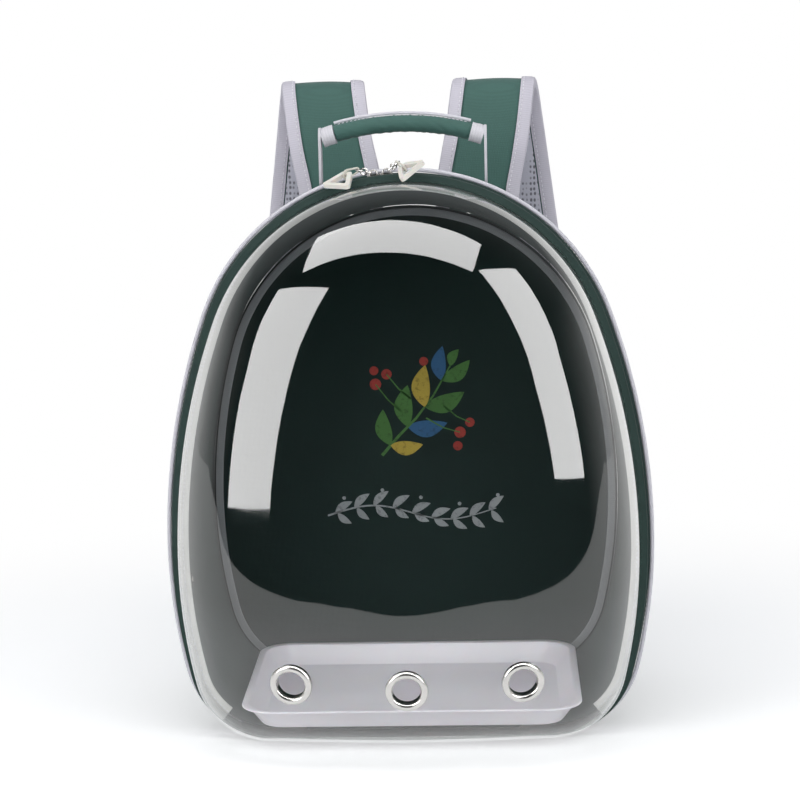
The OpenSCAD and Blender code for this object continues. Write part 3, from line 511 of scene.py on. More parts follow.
def stitches(name, path, normals, pitch=3.4, length=2.3, r=0.32, lift=0.1):
    """A row of thread stitches that lies on a surface along a path."""
    verts, faces = [], []
    path = [Vector(p) for p in path]
    normals = [Vector(n) for n in normals]
    spans = [(b - a).length for a, b in zip(path, path[1:])]
    starts = [0.0]
    for span in spans:
        starts.append(starts[-1] + span)
    total = starts[-1]
    count = int(total / pitch)

    def at(d):
        d = max(0, min(total, d))
        k = 0
        while k < len(spans) - 1 and starts[k + 1] < d:
            k += 1
        f = min(1.0, (d - starts[k]) / max(spans[k], 1e-9))
        return path[k].lerp(path[k + 1], f), normals[k].lerp(normals[k + 1], f).normalized()

    taper = ((0, 0.35), (0.18, 0.9), (0.5, 1), (0.82, 0.9), (1, 0.35))
    for c in range(count):
        d0 = (c + 0.5) * total / count - length / 2
        base = len(verts)
        for f, scale in taper:
            p, n = at(d0 + length * f)
            t = at(d0 + length * f + 0.2)[0] - p
            t = t.normalized() if t.length > 1e-6 else Vector((1, 0, 0))
            side = n.cross(t).normalized()
            sink = (lift + r * 0.4) if 0.1 < f < 0.9 else (lift - r * 0.9)
            verts += [p + n * (sink + r * scale * sin(a)) + side * r * 1.25 * scale * cos(a) for a in circle(6)]
        faces += grid(len(taper), 6, base)
        faces.append(tuple(base + b for b in reversed(range(6))))
        faces.append(tuple(base + 24 + b for b in range(6)))
    return new_mesh(name, verts, faces, None, 60)


def board(name, outline, y0, y1, edge=0.8):
    """Flat panel in an outline of (x, z) with softened edges, between two depths."""
    corners = [Vector(p) for p in outline]
    n = len(corners)
    centre = sum(corners, Vector((0, 0))) / n

    def ring(inset, y):
        pts = []
        for i, corner in enumerate(corners):
            t = (corners[(i + 1) % n] - corners[i - 1]).normalized()
            inward = Vector((-t.y, t.x))
            if inward.dot(centre - corner) < 0:
                inward = -inward
            p = corner + inward * inset
            pts.append((p.x, y, p.y))
        return pts

    return loft(name, [ring(edge, y0), ring(edge * 0.3, y0 + edge * 0.3), ring(0, y0 + edge),
                       ring(0, y1 - edge), ring(edge * 0.3, y1 - edge * 0.3), ring(edge, y1)])


def paint(node, material):
    """Material and smooth shading for a CAD solid that stays."""
    node.data.materials.clear()
    node.data.materials.append(material)
    for poly in node.data.polygons:
        poly.material_index = 0
    node.data.shade_smooth()
    node.data.set_sharp_from_angle(angle=radians(32))


VENT_BORE, VENT_R = 2.6, 3.2
VENTS = [(wall_point(i, 0.5, 0), wall_normal(i, 0.5))
         for k in (8, 10, 12, 14, 16, 19) for i in (BOTTOM + 3 * k, COUNT - BOTTOM - 3 * k)]
ZIP_FROM = BOTTOM + 6    # first station of the zipper and of the piping beside it


def make_cabin():
    """Side walls with their stitching and eyelets, back panel, bindings, pipings, hinge strip and base."""
    steps = spread(0, 1, 14)
    loops = [[wall_point(i, t, -WALL_T) for t in steps] + [wall_point(i, t, 0) for t in reversed(steps)]
             for i in range(BOTTOM, COUNT - BOTTOM + 1)]
    wall = loft("cabin_wall", loops)
    ruffle(wall, 0.55, 16, (1, 2.2, 0.8), 3.1)
    cut(wall, [drum("hole", frame_at(p, n), VENT_R, 16, 24) for p, n in VENTS])
    dress(wall, "cabin", GREEN, "gusset", slot="green_fabric")

    ids = range(BOTTOM + 4, COUNT - BOTTOM - 3)
    rows = [stitches("row", [wall_point(i, t, 0.1) for i in ids], [wall_normal(i, t) for i in ids])
            for t in (0.045, 0.965)]
    dress(join("cabin_wall_stitching", rows), "cabin", STITCH, slot="pale_fabric")

    eyelet = [(VENT_BORE, -3.9), (4.6, -4.0), (5.0, -3.7), (5.0, -3.3), (VENT_R, -3.3), (VENT_R, 0.45), (5.2, 0.45),
              (5.1, 0.8), (4.6, 1.1), (3.9, 1.22), (VENT_R, 1.1), (2.75, 0.8), (VENT_BORE, 0.4)]
    for node, side in (("vent_eyelets_right", 1), ("vent_eyelets_left", -1)):
        rings = [turned("eyelet", frame_at(p, n), eyelet, 32, 50) for p, n in VENTS if p.x * side > 0]
        dress(join(node + "_rings", rings), "cabin", NICKEL, node, slot="nickel")

    back = board("back_board", [out(s, -WALL_T - SEAT) for s in BACK], 81, BACK_Y)
    dress(back, "cabin", GREEN, "back_panel", slot="green_fabric")
    lining = board("lining", [out(s, -4.2) for s in BACK], LINING_Y, 80.7, 0.2)
    dress(lining, "cabin", DARK, "back_lining", slot="dark_fabric")

    seam = follow("lining_seam", BACK, rounded(-11, -5, 77.8, 79.4, 0.6), 0, Vector)
    dress(seam, "cabin", SEAM_TAPE, "seam_binding", slot="grey_fabric")
    rear = follow("rear_bead", BACK, bead(-1.7, 86.6, 1.25), 0, Vector)
    ruffle(rear, 0.06, 90)
    dress(rear, "cabin", PIPING, "rear_piping", slot="pale_fabric")
    front = follow("front_bead", FRONT, bead(1.9, 18.75, 1.6), ZIP_FROM)
    ruffle(front, 0.12, 90)
    dress(front, "cabin", PIPING, "front_piping", slot="pale_fabric")

    half = RING[BOTTOM][0] - 4
    y0, y1, z, r = 3.35, CABIN_EDGE_Y - SEAT, 0.9, 0.6
    section = [(y0 + r * cos(a), z + r * sin(a)) for a in (radians(k) for k in range(90, 271, 20))]
    section += [(y1, z - r), (y1, z + r)]
    strip = loft("foot_hinge", [[on_ring((x, y, h)) for y, h in section] for x in spread(-half, half, 40)])
    dress(strip, "cabin", DARK, "hinge_strip", slot="dark_fabric")
    paint(NODES["base_panel"], BOARD)


def make_floor_pad():
    """Floor cushion: a tapering slab, drawn in at its foot and crowned on top."""
    lo, hi = (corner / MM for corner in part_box("floor_pad"))
    front, back = FRONT[BOTTOM][0] - 22.5, BACK[BOTTOM][0] - SEAT
    corners = [Vector(p) for p in ((-front, lo.y), (front, lo.y), (back, hi.y), (-back, hi.y))]
    outline = [corners[k // 12].lerp(corners[(k // 12 + 1) % 4], k % 12 / 12) for k in range(48)]
    mid = Vector((0, (lo.y + hi.y) / 2))
    loops = []
    for z, inset in ((lo.z, 3), (lo.z + 2, 0.6), (lo.z + 5, 0), (lo.z + 9, 0.8), (lo.z + 11.2, 3.5), (hi.z, 9)):
        away = [p - mid for p in outline]
        away = [d * (1 - inset / max(abs(d.x), abs(d.y))) for d in away]
        loops.append([(mid.x + d.x, mid.y + d.y, z) for d in away])
    dress(loft("floor_cushion", loops), "cabin", DARK, "floor_pad", slot="dark_fabric", pad=0.7)


# ---------- back cushion ----------

PAD_Y, PAD_FOOT, PAD_CROWN, PAD_LIMIT = 85.3, 46, 12.3, 99.2


def channels(x, z):
    """Share of the back cushion's crown that its sewn channels leave."""
    away = (abs(x), abs(z - 0.38 * BACK_H), abs(z - 0.66 * BACK_H))
    return min(1 - 0.75 * exp(-(d / 7.0) ** 2) for d in away)


def make_back_pad():
    """Back cushion with sewn channels, and the tape round its edge."""
    outline = arch(298, 136, 114, 450, 400, 57)
    n, rows = len(outline), 26
    centre = Vector((0, 150))
    verts = []
    for k in range(rows + 1):
        for s in outline:
            edge_at = Vector(out(s, -0.5))
            p = edge_at.lerp(centre, k / rows)
            dome = sqrt(max(0.0, 1 - (1 - min(1, (edge_at - p).length / 22)) ** 2))
            y = PAD_Y + 1.2 + PAD_CROWN * dome * channels(p.x, p.y + PAD_FOOT)
            y += 0.7 * noise.noise(Vector((p.x * 0.03, p.y * 0.03, 1.7)))
            verts.append((p.x, min(y, PAD_LIMIT), p.y + PAD_FOOT))
    rim = len(verts)
    verts += [(out(s, -0.5)[0], PAD_Y + 0.1, out(s, -0.5)[1] + PAD_FOOT) for s in outline]
    faces = grid(rows, n)
    for j in range(n):
        b = (j + 1) % n
        faces.append(((rows - 1) * n + j, (rows - 1) * n + b, rows * n))
        faces.append((rim + j, rim + b, b, j))
    faces.append(tuple(rim + j for j in reversed(range(n))))
    pad = new_mesh("back_cushion", verts, faces, None, 60)
    fix_normals(pad, weld=0.00002)
    dress(pad, "cabin", MESH, "back_pad", slot="grey_fabric", pad=0.75)
    raised = [(x, z + PAD_FOOT, r, a) for x, z, r, a in outline]
    edge = follow("back_cushion_edge", raised, rounded(-3.4, -0.2, 85.5, 88.6, 0.9), 0, Vector)
    dress(edge, "cabin", DARK_WEBBING, slot="grey_fabric")


# ---------- zipper ----------


def zip_half(name, node, body, y0, y1, coil_y):
    """Tape with its coil: a ridge of nylon loops along one edge."""
    strip = follow(name + "_tape", RING, rounded(-3.0, -1.8, y0, y1, 0.3, 2), ZIP_FROM)
    dress(strip, body, ZIP_TAPE, node, slot="pale_fabric")
    path = [beside(RING[i], -1.0, coil_y, Vector) for i in range(ZIP_FROM, COUNT - ZIP_FROM + 1)]
    spans = [(b - a).length for a, b in zip(path, path[1:])]
    total = sum(spans)
    per_turn, sides, fore = 6, 5, Vector((0, 1, 0))
    count = int(total / 1.15) * per_turn
    verts = []
    k, gone = 0, 0.0
    for j in range(count):
        d = j * total / count
        while k < len(spans) - 1 and gone + spans[k] < d:
            gone += spans[k]
            k += 1
        p = path[k].lerp(path[k + 1], (d - gone) / spans[k])
        t = (path[k + 1] - path[k]).normalized()
        up = Vector((t.z, 0, -t.x))
        if up.dot(Vector((p.x, 0, p.z - CROWN_Z))) < 0:
            up = -up
        a = 2 * pi * (j % per_turn) / per_turn
        centre = p + up * (0.55 * sin(a)) + fore * (0.95 * cos(a))
        radial = up * sin(a) + fore * cos(a)
        verts += [on_ring(centre + radial * (0.26 * cos(b)) + t * (0.3 * sin(b))) for b in circle(sides)]
    coil = new_mesh(name + "_coil", verts, grid(count, sides), None, 80)
    fix_normals(coil)
    dress(coil, body, COIL, slot="zip_nylon")


# ---------- door ----------


def make_door():
    """Rim band round the dome's flange, and the tape inside it."""
    band = [(-6, -3.35), (-6, -1.65), (-1.7, -1.65), (-1.7, 0.15), (-6, 0.15), (-6, 2.15)]
    band += [(-1.3 + 1.3 * cos(radians(a)), y + 1.3 * sin(radians(a)))
             for y, start in ((0.85, 90), (-2.05, 0)) for a in spread(start, start - 90, 4)]
    rim = follow("rim_cloth", RING, band)
    ruffle(rim, 0.18, 30)
    dress(rim, "door", GREEN, "rim_band", slot="green_fabric")
    path = [beside(s, -4.9, -3.4) for s in RING + RING[:1]]
    row = stitches("rim_stitching", path, [(0, -1, 0)] * len(path))
    dress(row, "door", DARK_STITCH, slot="green_fabric")

    start = BOTTOM + ARCS[0] // 2
    binding = follow("rim_tape_inside", RING, rounded(-12.3, -6.3, 0.35, 1.95, 0.6), start)
    dress(binding, "door", RIM_TAPE, "rim_binding", slot="pale_fabric")
    path = [beside(RING[i % COUNT], -8.0, 0.35) for i in range(start, COUNT - start + 1)]
    row = stitches("rim_tape_stitching", path, [(0, -1, 0)] * len(path), lift=-0.05)
    dress(row, "door", STITCH, slot="pale_fabric")


SHEET_T, CROWN_Z, CROWN_DEPTH = 1.5, 190, 108
FLANGE_Y, FLANGE_EDGE, DOME_FOOT = -1.5, -2.0, -6.5
HOLE_R, EYELET_BORE, EYELET_TUBE, EYELET_R = 12.2, 10.2, 11.7, 15.3
# middle and outward direction of each hole, in the door's frame
DOME_EYELETS = {
    "dome_eyelet_left": ((-82.19, -95.91, 61.80), (-0.1748, -0.9534, -0.2459)),
    "dome_eyelet_center": ((0, -102.19, 57.54), (0, -0.9669, -0.2552)),
    "dome_eyelet_right": ((82.19, -95.91, 61.80), (0.1748, -0.9534, -0.2459)),
}


def dome_point(station, step, inset):
    """Point of the dome's skin over a station, at an angle from its foot (0) to its crown (90)."""
    x, z = out(station, DOME_FOOT - inset)
    foot = Vector((x, z - CROWN_Z))
    d = foot.normalized()
    power = 2 / (2.9 + 1.5 * max(0, -d.y) ** 2)
    oval = 1 / hypot(d.x / 160.5, d.y / (213.5 if d.y > 0 else 177.5))
    a = radians(step)
    blend = sin(a) ** 2
    reach = (foot.length * (1 - blend) + (oval - inset) * blend) * max(0.0, cos(a)) ** power
    return Vector((d.x * reach, FLANGE_Y + inset - CROWN_DEPTH * sin(a) ** power, CROWN_Z + d.y * reach))


def make_dome():
    """Clear sheet with its flange and three holes, and the rolled eyelets in them."""
    steps = [0, 1.5, 3, 5, 7.5, 10.5, 14, 18, 22, 26.5, 31, 36, 41, 46, 51, 56, 61, 66, 71, 76, 81, 86]
    loops = [[dome_point(s, step, 0.0) for s in RING] for step in reversed(steps)]
    loops += [[beside(s, FLANGE_EDGE, y, Vector) for s in RING] for y in (FLANGE_Y, FLANGE_Y + SHEET_T)]
    loops += [[dome_point(s, step, SHEET_T) for s in RING] for step in steps]
    n = len(loops)
    verts = [on_ring(p) for loop in loops for p in loop]
    crown = len(verts)
    verts += [on_ring((0, FLANGE_Y + t - CROWN_DEPTH, CROWN_Z)) for t in (0, SHEET_T)]
    faces = grid(n, COUNT)
    for j in range(COUNT):
        k = (j + 1) % COUNT
        faces.append((crown, k, j))
        faces.append((crown + 1, (n - 1) * COUNT + j, (n - 1) * COUNT + k))
    dome = new_mesh("clear_dome", verts, faces, None, 60)
    fix_normals(dome)
    seats = {node: frame_at(on_ring(at), on_ring(way) - on_ring((0, 0, 0)))
             for node, (at, way) in DOME_EYELETS.items()}
    cut(dome, [drum("hole", seat, HOLE_R, 14, 72) for seat in seats.values()])
    dome.data.shade_smooth()
    dome.data.set_sharp_from_angle(angle=radians(40))
    dress(dome, "door", CLEAR, "dome", slot="clear_sheet")

    mid = (EYELET_R + EYELET_BORE) / 2
    profile = [(EYELET_BORE, -4.0), (13.8, -4.0), (13.8, -3.2), (EYELET_TUBE, -3.2),
               (EYELET_TUBE, 0.7), (EYELET_R, 0.7)]
    profile += [(mid + (EYELET_R - mid) * cos(a), 0.7 + 2.2 * sin(a))
                for a in (radians(k) for k in range(15, 166, 15))]
    for node, seat in seats.items():
        dress(turned(node + "_ring", seat, profile, 96, 40), "door", NICKEL, node, slot="nickel")


# ---------- tray ----------

TRAY_W, TRAY_D, TRAY_BACK, TRAY_Z = 253.0, 194, 71.8, 15.6


def slab_outline(inset):
    """Rounded rectangle of the tray, drawn in by inset."""
    r = max(3.0, 26 - inset * 0.6)
    half, back, front = TRAY_W / 2 - r - inset, TRAY_BACK - r - inset, TRAY_BACK - TRAY_D + r + inset
    return [(cx + r * cos(radians(a)), y + r * sin(radians(a)))
            for cx, y, a0 in ((half, back, 0), (-half, back, 90), (-half, front, 180), (half, front, 270))
            for a in spread(a0, a0 + 90, 10)]


def make_tray():
    """Open tray: sloping walls, a softened floor edge and a rolled rim."""
    skin = [(90, 0.2), (60, 0.0), (15.2, 0.0), (14.2, 0.3), (13.5, 1.0), (4.4, 14.2), (4.0, 14.4), (0.5, 14.4),
            (0.1, 14.7), (0.0, 15.2), (0.1, 15.7), (0.5, 16.0), (4.8, 16.0), (5.4, 15.8), (5.8, 15.3),
            (15.3, 2.1), (15.9, 1.7), (16.8, 1.6), (60, 1.6), (90, 1.6)]
    loops = [[(x, y, TRAY_Z + z) for x, y in slab_outline(inset)] for inset, z in skin]
    tray = loft("litter_tray", loops, smooth=50)
    dress(tray, "tray", TRAY, "tray", slot="tray_plastic")


# ---------- carry handle ----------

HANDLE_Y, PIVOT_Z, LEG_X, LEG_HALF = -26.35, 414.19, 61.54, 7.9
GRIP_Z, GRIP_R, GRIP_HALF, GRIP_T = 265.0, 190.0, 15.3, 6.3
PATCH_STATION = APEX - 12


def grip_point(deg, lift=0.0):
    """Point on the grip's arch at an angle from its top."""
    a = radians(deg)
    return Vector(((GRIP_R + lift) * sin(a), HANDLE_Y, GRIP_Z + (GRIP_R + lift) * cos(a)))


def grip_section(deg, r, seed, gathers):
    """Round section across the grip's arch at an angle; gathers fold the cloth round it."""
    up, fore = Vector((sin(radians(deg)), 0, cos(radians(deg)))), Vector((0, -1, 0))
    loop = []
    for t in circle(32):
        fold = gathers * noise.noise(Vector((deg * 0.9 + 3 * sin(t), 2 * cos(t), seed)))
        loop.append(grip_point(deg) + up * (r + fold) * sin(t) + fore * (r + fold) * cos(t))
    return loop


def make_handle():
    """Grip with its piping, the straps that carry it and their patches on the walls."""
    angles = spread(-GRIP_HALF, GRIP_HALF, 120)
    loops = []
    for a in angles:
        end = min(1.0, (GRIP_HALF - abs(a)) / 0.5)
        loops.append(grip_section(a, GRIP_T * (0.9 + 0.1 * end), 4.2, 0.45))
    dress(loft("handle_sleeve", loops), "handle", STRAP_GREEN, "handle_grip", slot="green_fabric", pad=0.8)

    piping = tube("handle_bead", [grip_point(a, 7.85) for a in spread(-14.9, 14.9, 90)], 1.2)
    ruffle(piping, 0.1, 120)
    dress(piping, "handle", PIPING, "handle_piping", slot="pale_fabric")
    path = [grip_point(a, GRIP_T + 0.05) + Vector((0, -1.9, -0.2)) for a in angles[4:-4]]
    row = stitches("handle_stitching", path, [Vector((0, -0.35, 1))] * len(path), pitch=3.0, length=2.0, r=0.3)
    dress(row, "handle", STITCH, slot="pale_fabric")

    parts = []
    top = GRIP_Z + GRIP_R * cos(radians(GRIP_HALF + 3.2))
    outline = [(LEG_HALF * cos(a), z + LEG_HALF * sin(a))
               for z, start in ((top, 0), (PIVOT_Z, pi)) for a in spread(start, start + pi, 16)]
    for s in (-1, 1):
        parts.append(loft("wrap", [grip_section(s * (15.45 + 2.95 * k / 16), 7.15 + 0.12 * sin(k * 2.4), 9, 0.2)
                                   for k in range(17)]))
        loops = [[(s * LEG_X + x, HANDLE_Y + y * (1 - inset / 8), PIVOT_Z + (z - PIVOT_Z) * (1 - inset / 40))
                  for y, z in outline] for x, inset in ((-1.0, 0.5), (-0.8, 0.1), (0.8, 0.1), (1.0, 0.5))]
        parts.append(loft("leg", loops))
    dress(join("handle_straps", parts), "handle", WEBBING, "handle_webbing", slot="pale_fabric")

    parts, rows = [], []
    for i in (PATCH_STATION, COUNT - PATCH_STATION):
        n, at = wall_normal(i, 0.13), wall_point(i, 0.13, 0)
        u = (wall_point(i, 0.2, 0) - wall_point(i, 0.06, 0)).normalized()
        v = n.cross(u).normalized()

        def on_patch(half, r, steps, h):
            return [at + n * h + u * x + v * y for x, y in rounded(-half, half, -half, half, r, steps)]

        parts.append(loft("patch", [on_patch(half, 2.2, 4, h) for h, half in ((0.3, 11), (1.1, 11), (1.5, 10.3))]))
        square = on_patch(9, 1.0, 2, 1.45)
        square.append(square[0])
        rows.append(stitches("row", square, [n] * len(square)))
    dress(join("handle_patches", parts), "cabin", GREEN, "handle_anchors", slot="green_fabric")
    dress(join("handle_patch_stitching", rows), "cabin", STITCH, slot="pale_fabric")


# ---------- shoulder straps ----------

KNOTS = [Vector(p) for p in (
    (54, 93, 377), (55, 93, 400), (62, 97, 436), (67, 111, 470), (69, 129, 477),
    (72, 145, 466), (77, 155, 430), (86, 158, 360), (96, 155, 280), (107, 147, 190))]
ANCHOR = Vector((124, 94, 34))
SEAM_AT = 24.6    # the stitching's distance from the strap's middle line


def strap_frames(per_knot=12):
    """Point, sideways and outward directions and thickness share along the right strap's smooth path."""
    path = []
    for k in range(len(KNOTS) - 1):
        a, b, c, d = KNOTS[max(k - 1, 0)], KNOTS[k], KNOTS[k + 1], KNOTS[min(k + 2, len(KNOTS) - 1)]
        for u in spread(0, 1, per_knot)[:-1]:
            path.append(0.5 * (2 * b + (c - a) * u + (2 * a - 5 * b + 4 * c - d) * u**2
                               + (3 * b - a - 3 * c + d) * u**3))
    path.append(KNOTS[-1].copy())
    frames = []
    for i, p in enumerate(path):
        t = (path[min(i + 1, len(path) - 1)] - path[max(i - 1, 0)]).normalized()
        w = (Vector((1, 0, 0)) - t * t.x).normalized()
        frames.append((p, w, w.cross(t), min(1.0, 0.3 + 0.35 * i / 4)))
    return frames


FRAMES = strap_frames()


def strap_point(side, i, across, lift):
    p, w, o, fill = FRAMES[i]
    return mirrored(side, p + w * across + o * (lift * fill))


def along_strap(name, side, profile, start=0):
    """A profile of (across, lift) carried along a strap."""
    return loft(name, [[strap_point(side, i, a, b) for a, b in profile] for i in range(start, len(FRAMES))])


def make_strap(side, tag):
    """Strap with padding, mesh and bindings, its webbing and the tab that anchors it."""
    body = "strap_" + tag
    # padding, crowned on its outside between the bindings
    crown = [(a, 3.1 + 1.35 * cos(pi * a / 52)) for a in spread(22, -22, 16)]
    pad = [(-31.2, -2.4), (-22.5, -4.0), (22.5, -4.0), (31.2, -2.4), (31.2, 2.4)] + crown + [(-31.2, 2.4)]
    cushion = along_strap("strap_cushion_" + tag, side, pad)
    ruffle(cushion, 0.4, 26, (1, 1, 1.6), side * 2.0)
    dress(cushion, body, STRAP_GREEN, "strap_pad_" + tag, slot="green_fabric", pad=0.6)

    mesh = [(a, -4.5 - 2.1 * (1 - (a / 21.5) ** 4)) for a in spread(-21.4, 21.4, 14)]
    lining = along_strap("strap_lining_" + tag, side, mesh + [(21.4, -4.3), (-21.4, -4.3)], 4)
    dress(lining, body, MESH, "strap_mesh_" + tag, slot="white_mesh")

    edge = [(22.3, -5.1), (26, -5.25), (30, -4.9), (32.2, -4.1), (33.0, -2.6), (33.0, 2.6), (32.3, 4.0),
            (30, 4.85), (26, 5.15), (22.4, 5.05), (22.3, 4.2), (31.6, 3.3), (31.8, -3.3), (22.3, -4.2)]
    parts, rows = [], []
    for s in (-1, 1):
        parts.append(along_strap("binding", side, [(a * s, b) for a, b in edge][::s]))
        for lift, flip in ((5.12, 1), (-5.2, -1)):
            ids = range(2, len(FRAMES) - 1)
            path = [strap_point(side, i, s * SEAM_AT, lift) for i in ids]
            outward = [mirrored(side, FRAMES[i][2]) * flip for i in ids]
            rows.append(stitches("row", path, outward, pitch=3.6, length=2.4, r=0.3))
    binding = join("strap_edges_" + tag, parts)
    ruffle(binding, 0.22, 40, seed=side * 5.0)
    dress(binding, body, BINDING, "strap_binding_" + tag, slot="pale_fabric")
    dress(join("strap_stitching_" + tag, rows), body, STITCH, slot="pale_fabric")

    # adjuster webbing on its straight run to the anchor
    run = ANCHOR - KNOTS[-1]
    z = run.normalized()
    x = (Vector((1, 0, 0)) - z * z.x).normalized()
    y = z.cross(x)
    loops = []
    for d in spread(8, run.length - 4, 60):
        o = KNOTS[-1] + z * d + y * (0.0 if d < 40 else 0.5 * sin((d - 40) / 22))
        loops.append([mirrored(side, o + x * a + y * b) for a, b in rounded(-12.5, 12.5, -0.8, 0.8, 0.55, 2)])
    web = loft("adjusting_webbing_" + tag, loops)
    dress(web, "webbing_" + tag, DARK_WEBBING, "strap_webbing_" + tag, slot="grey_fabric")
    paint(NODES["adjuster_" + tag], BLACK)

    corners = [Vector((side * cx, cz)) for cx, cz in ((109, 4), (150, 26), (137, 46), (111, 42))][::side]
    outline = [a.lerp(b, (k + 0.5) / 6) for a, b in zip(corners, corners[1:] + corners[:1]) for k in range(6)]
    tab = board("strap_anchor_tab_" + tag, outline, 88.8, 91.8, 0.7)
    dress(tab, "cabin", GREEN, "strap_anchor_" + tag, slot="green_fabric")


def make_yoke():
    """Board on the back that both straps are sewn to, with two rows of stitching."""
    lo, hi = (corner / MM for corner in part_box("strap_yoke"))
    yoke = board("shoulder_yoke", rounded(lo.x, hi.x, lo.z, hi.z, 3, 4), lo.y, hi.y)
    dress(yoke, "cabin", STRAP_GREEN, "strap_yoke", slot="green_fabric")
    rows = []
    for inset in (2.5, 5.5):
        path = rounded(lo.x + inset, hi.x - inset, lo.z + inset, hi.z - inset, 2, 3)
        path.append(path[0])
        rows.append(stitches("row", [(x, hi.y + 0.02, z) for x, z in path], [(0, 1, 0)] * len(path)))
    dress(join("shoulder_yoke_stitching", rows), "cabin", STITCH, slot="pale_fabric")


# ---------- zipper pulls ----------

# for each side: chain's turn and rise, cord's turn and fall in degrees, and its loop's length
POSES = {-1: (14, 20, 32, 26, 10), 1: (30, 34, 45, 42, 8)}
SLIDER_AT = {-1: -7.8, 1: -4.2}
LINK_R, LINK_T, CORD_R = 2.2, 0.65, 0.8


def turn(axis, deg):
    return Matrix.Rotation(radians(deg), 4, axis)


def shift(x=0.0, y=0.0, z=0.0):
    return Matrix.Translation((x, y, z))


def cord_frame(side):
    """Frame of a pull's cord loop, at the end of its chain."""
    yaw, rise, cord_turn, fall, _ = POSES[side]
    rail = (shift(0, FRONT_Y, RING_LIFT) @ turn("X", -LEAN) @ shift(0, ZIP_Y, TOP_Z)
            @ turn("Y", SLIDER_AT[side]) @ shift(0, 0, TOP_R))
    lift = 1.0 + 2 * SEAT + LINK_T + 0.1
    flip = Matrix.Scale(-1, 4, (1, 0, 0)) if side < 0 else Matrix.Identity(4)
    pull = rail @ shift(0, 0, lift) @ flip @ shift(2.4 - LINK_T - 0.7) @ turn("Y", -rise)
    link_len = 2 * LINK_R + 0.6
    pitch = link_len - 2 * LINK_T - 0.3
    bend = link_len - LINK_R
    chain = pull @ shift(bend) @ turn("Z", -yaw) @ shift(-bend)
    return chain @ shift(2 * pitch + bend) @ turn("Z", -cord_turn) @ shift(LINK_R) @ turn("Y", fall)


def belt(length, ra, rb, steps=12):
    """Loop of a cord round two pins."""
    slant = asin((rb - ra) / length)
    pts = [Vector((ra * cos(a), 0, ra * sin(a))) for a in spread(pi / 2 + slant, 3 * pi / 2 - slant, steps)]
    return pts + [Vector((length + rb * cos(a), 0, rb * sin(a)))
                  for a in spread(-pi / 2 - slant, pi / 2 + slant, steps)]


def resample(points, step):
    """Points at even spacing round a closed path."""
    pts = points + points[:1]
    spans = [(b - a).length for a, b in zip(pts, pts[1:])]
    total = sum(spans)
    n = max(8, int(total / step))
    result, k, gone = [], 0, 0.0
    for c in range(n):
        d = total * c / n
        while k < len(spans) - 1 and gone + spans[k] < d:
            gone += spans[k]
            k += 1
        result.append(pts[k].lerp(pts[k + 1], (d - gone) / spans[k]))
    return result


def make_pull(side, tag):
    """Three twisted strands for the cord loop; chain, tab and slider keep their solids."""
    cord, fore, turns = cord_frame(side), Vector((0, 1, 0)), 9
    path = resample(belt(POSES[side][4], LINK_T + CORD_R + 0.2, hypot(3.4, 3.2) / 2 + CORD_R + 0.2), 0.5)
    n = len(path)
    strands = []
    for s in range(3):
        pts = []
        for i, p in enumerate(path):
            v = (path[(i + 1) % n] - path[i - 1]).normalized().cross(fore).normalized()
            a = 2 * pi * (turns * i / n + s / 3)
            pts.append(cord @ (p + (fore * cos(a) + v * sin(a)) * 0.38))
        strands.append(tube("strand", pts, 0.44, 8, closed=True))
    dress(join("pull_loop_" + tag, strands), "pull_" + tag, CORD, "pull_cord_" + tag, slot="cord")
    paint(NODES["pull_chain_" + tag], NICKEL)
    paint(NODES["pull_tab_" + tag], CREAM)
    paint(NODES["slider_" + tag], NICKEL)


# ---------- print on the lining ----------

POSY_AT, SPRIG_AT = (4.0, 222.0), (-3.0, 137.0)


def leaf(cx, cz, length, width, deg, bend):
    """Leaf outline with a slight bend, from its stalk end."""
    c, s = cos(radians(deg)), sin(radians(deg))
    left, right = [], []
    for t in spread(0, 1, 14):
        half = width / 2 * sin(pi * t) ** 0.8 * (1.15 - 0.35 * t)
        off = bend * length * sin(pi * t)
        left.append((t * length, off + half))
        right.append((t * length, off - half))
    return [(cx + x * c - z * s, cz + x * s + z * c) for x, z in left + right[-2:0:-1]]


def disc(cx, cz, r, n=20):
    return [(cx + r * cos(a), cz + r * sin(a)) for a in circle(n)]


def stroke(points, w0, w1):
    """Tapering line through points."""
    left, right = [], []
    pts = [Vector(p) for p in points]
    for i, p in enumerate(pts):
        t = (pts[min(i + 1, len(pts) - 1)] - pts[max(i - 1, 0)]).normalized()
        w = (w0 + (w1 - w0) * i / (len(pts) - 1)) / 2
        left.append((p.x - t.y * w, p.y + t.x * w))
        right.append((p.x + t.y * w, p.y - t.x * w))
    return left + right[::-1]


def print_piece(name, shapes, colour, lift):
    """Flat inked shapes, lift in front of the lining."""
    verts, faces = [], []
    for pts in shapes:
        faces.append(tuple(range(len(verts), len(verts) + len(pts))))
        verts += [(x, LINING_Y - lift, z) for x, z in pts]
    obj = new_mesh("print_" + name, verts, faces, None, 0)
    dress(obj, "cabin", ink("ink_" + name, colour), slot="dark_fabric")


def ink(name, base):
    """Printed ink on woven cloth, thin and slightly cracked."""
    n = Nodes(name)
    thread = threads(n, 0.001)
    co = n.coords()
    worn = n.ramp(n.noise(co, 260.0, 5.0, 0.7), [(0.34, (0, 0, 0, 1)), (0.46, (1, 1, 1, 1))])
    colour = n.mix(n.noise(co, 30.0, 3.0), tinted(base, 0.86), tinted(base, 1.1))
    colour = n.mix(worn, tinted(base, 0.55), colour)
    return n.finish(Base_Color=colour, Roughness=n.mad(worn, 0.1, 0.55), Normal=n.bump(thread, 0.3, 0.00015),
                    Specular_IOR_Level=0.3)


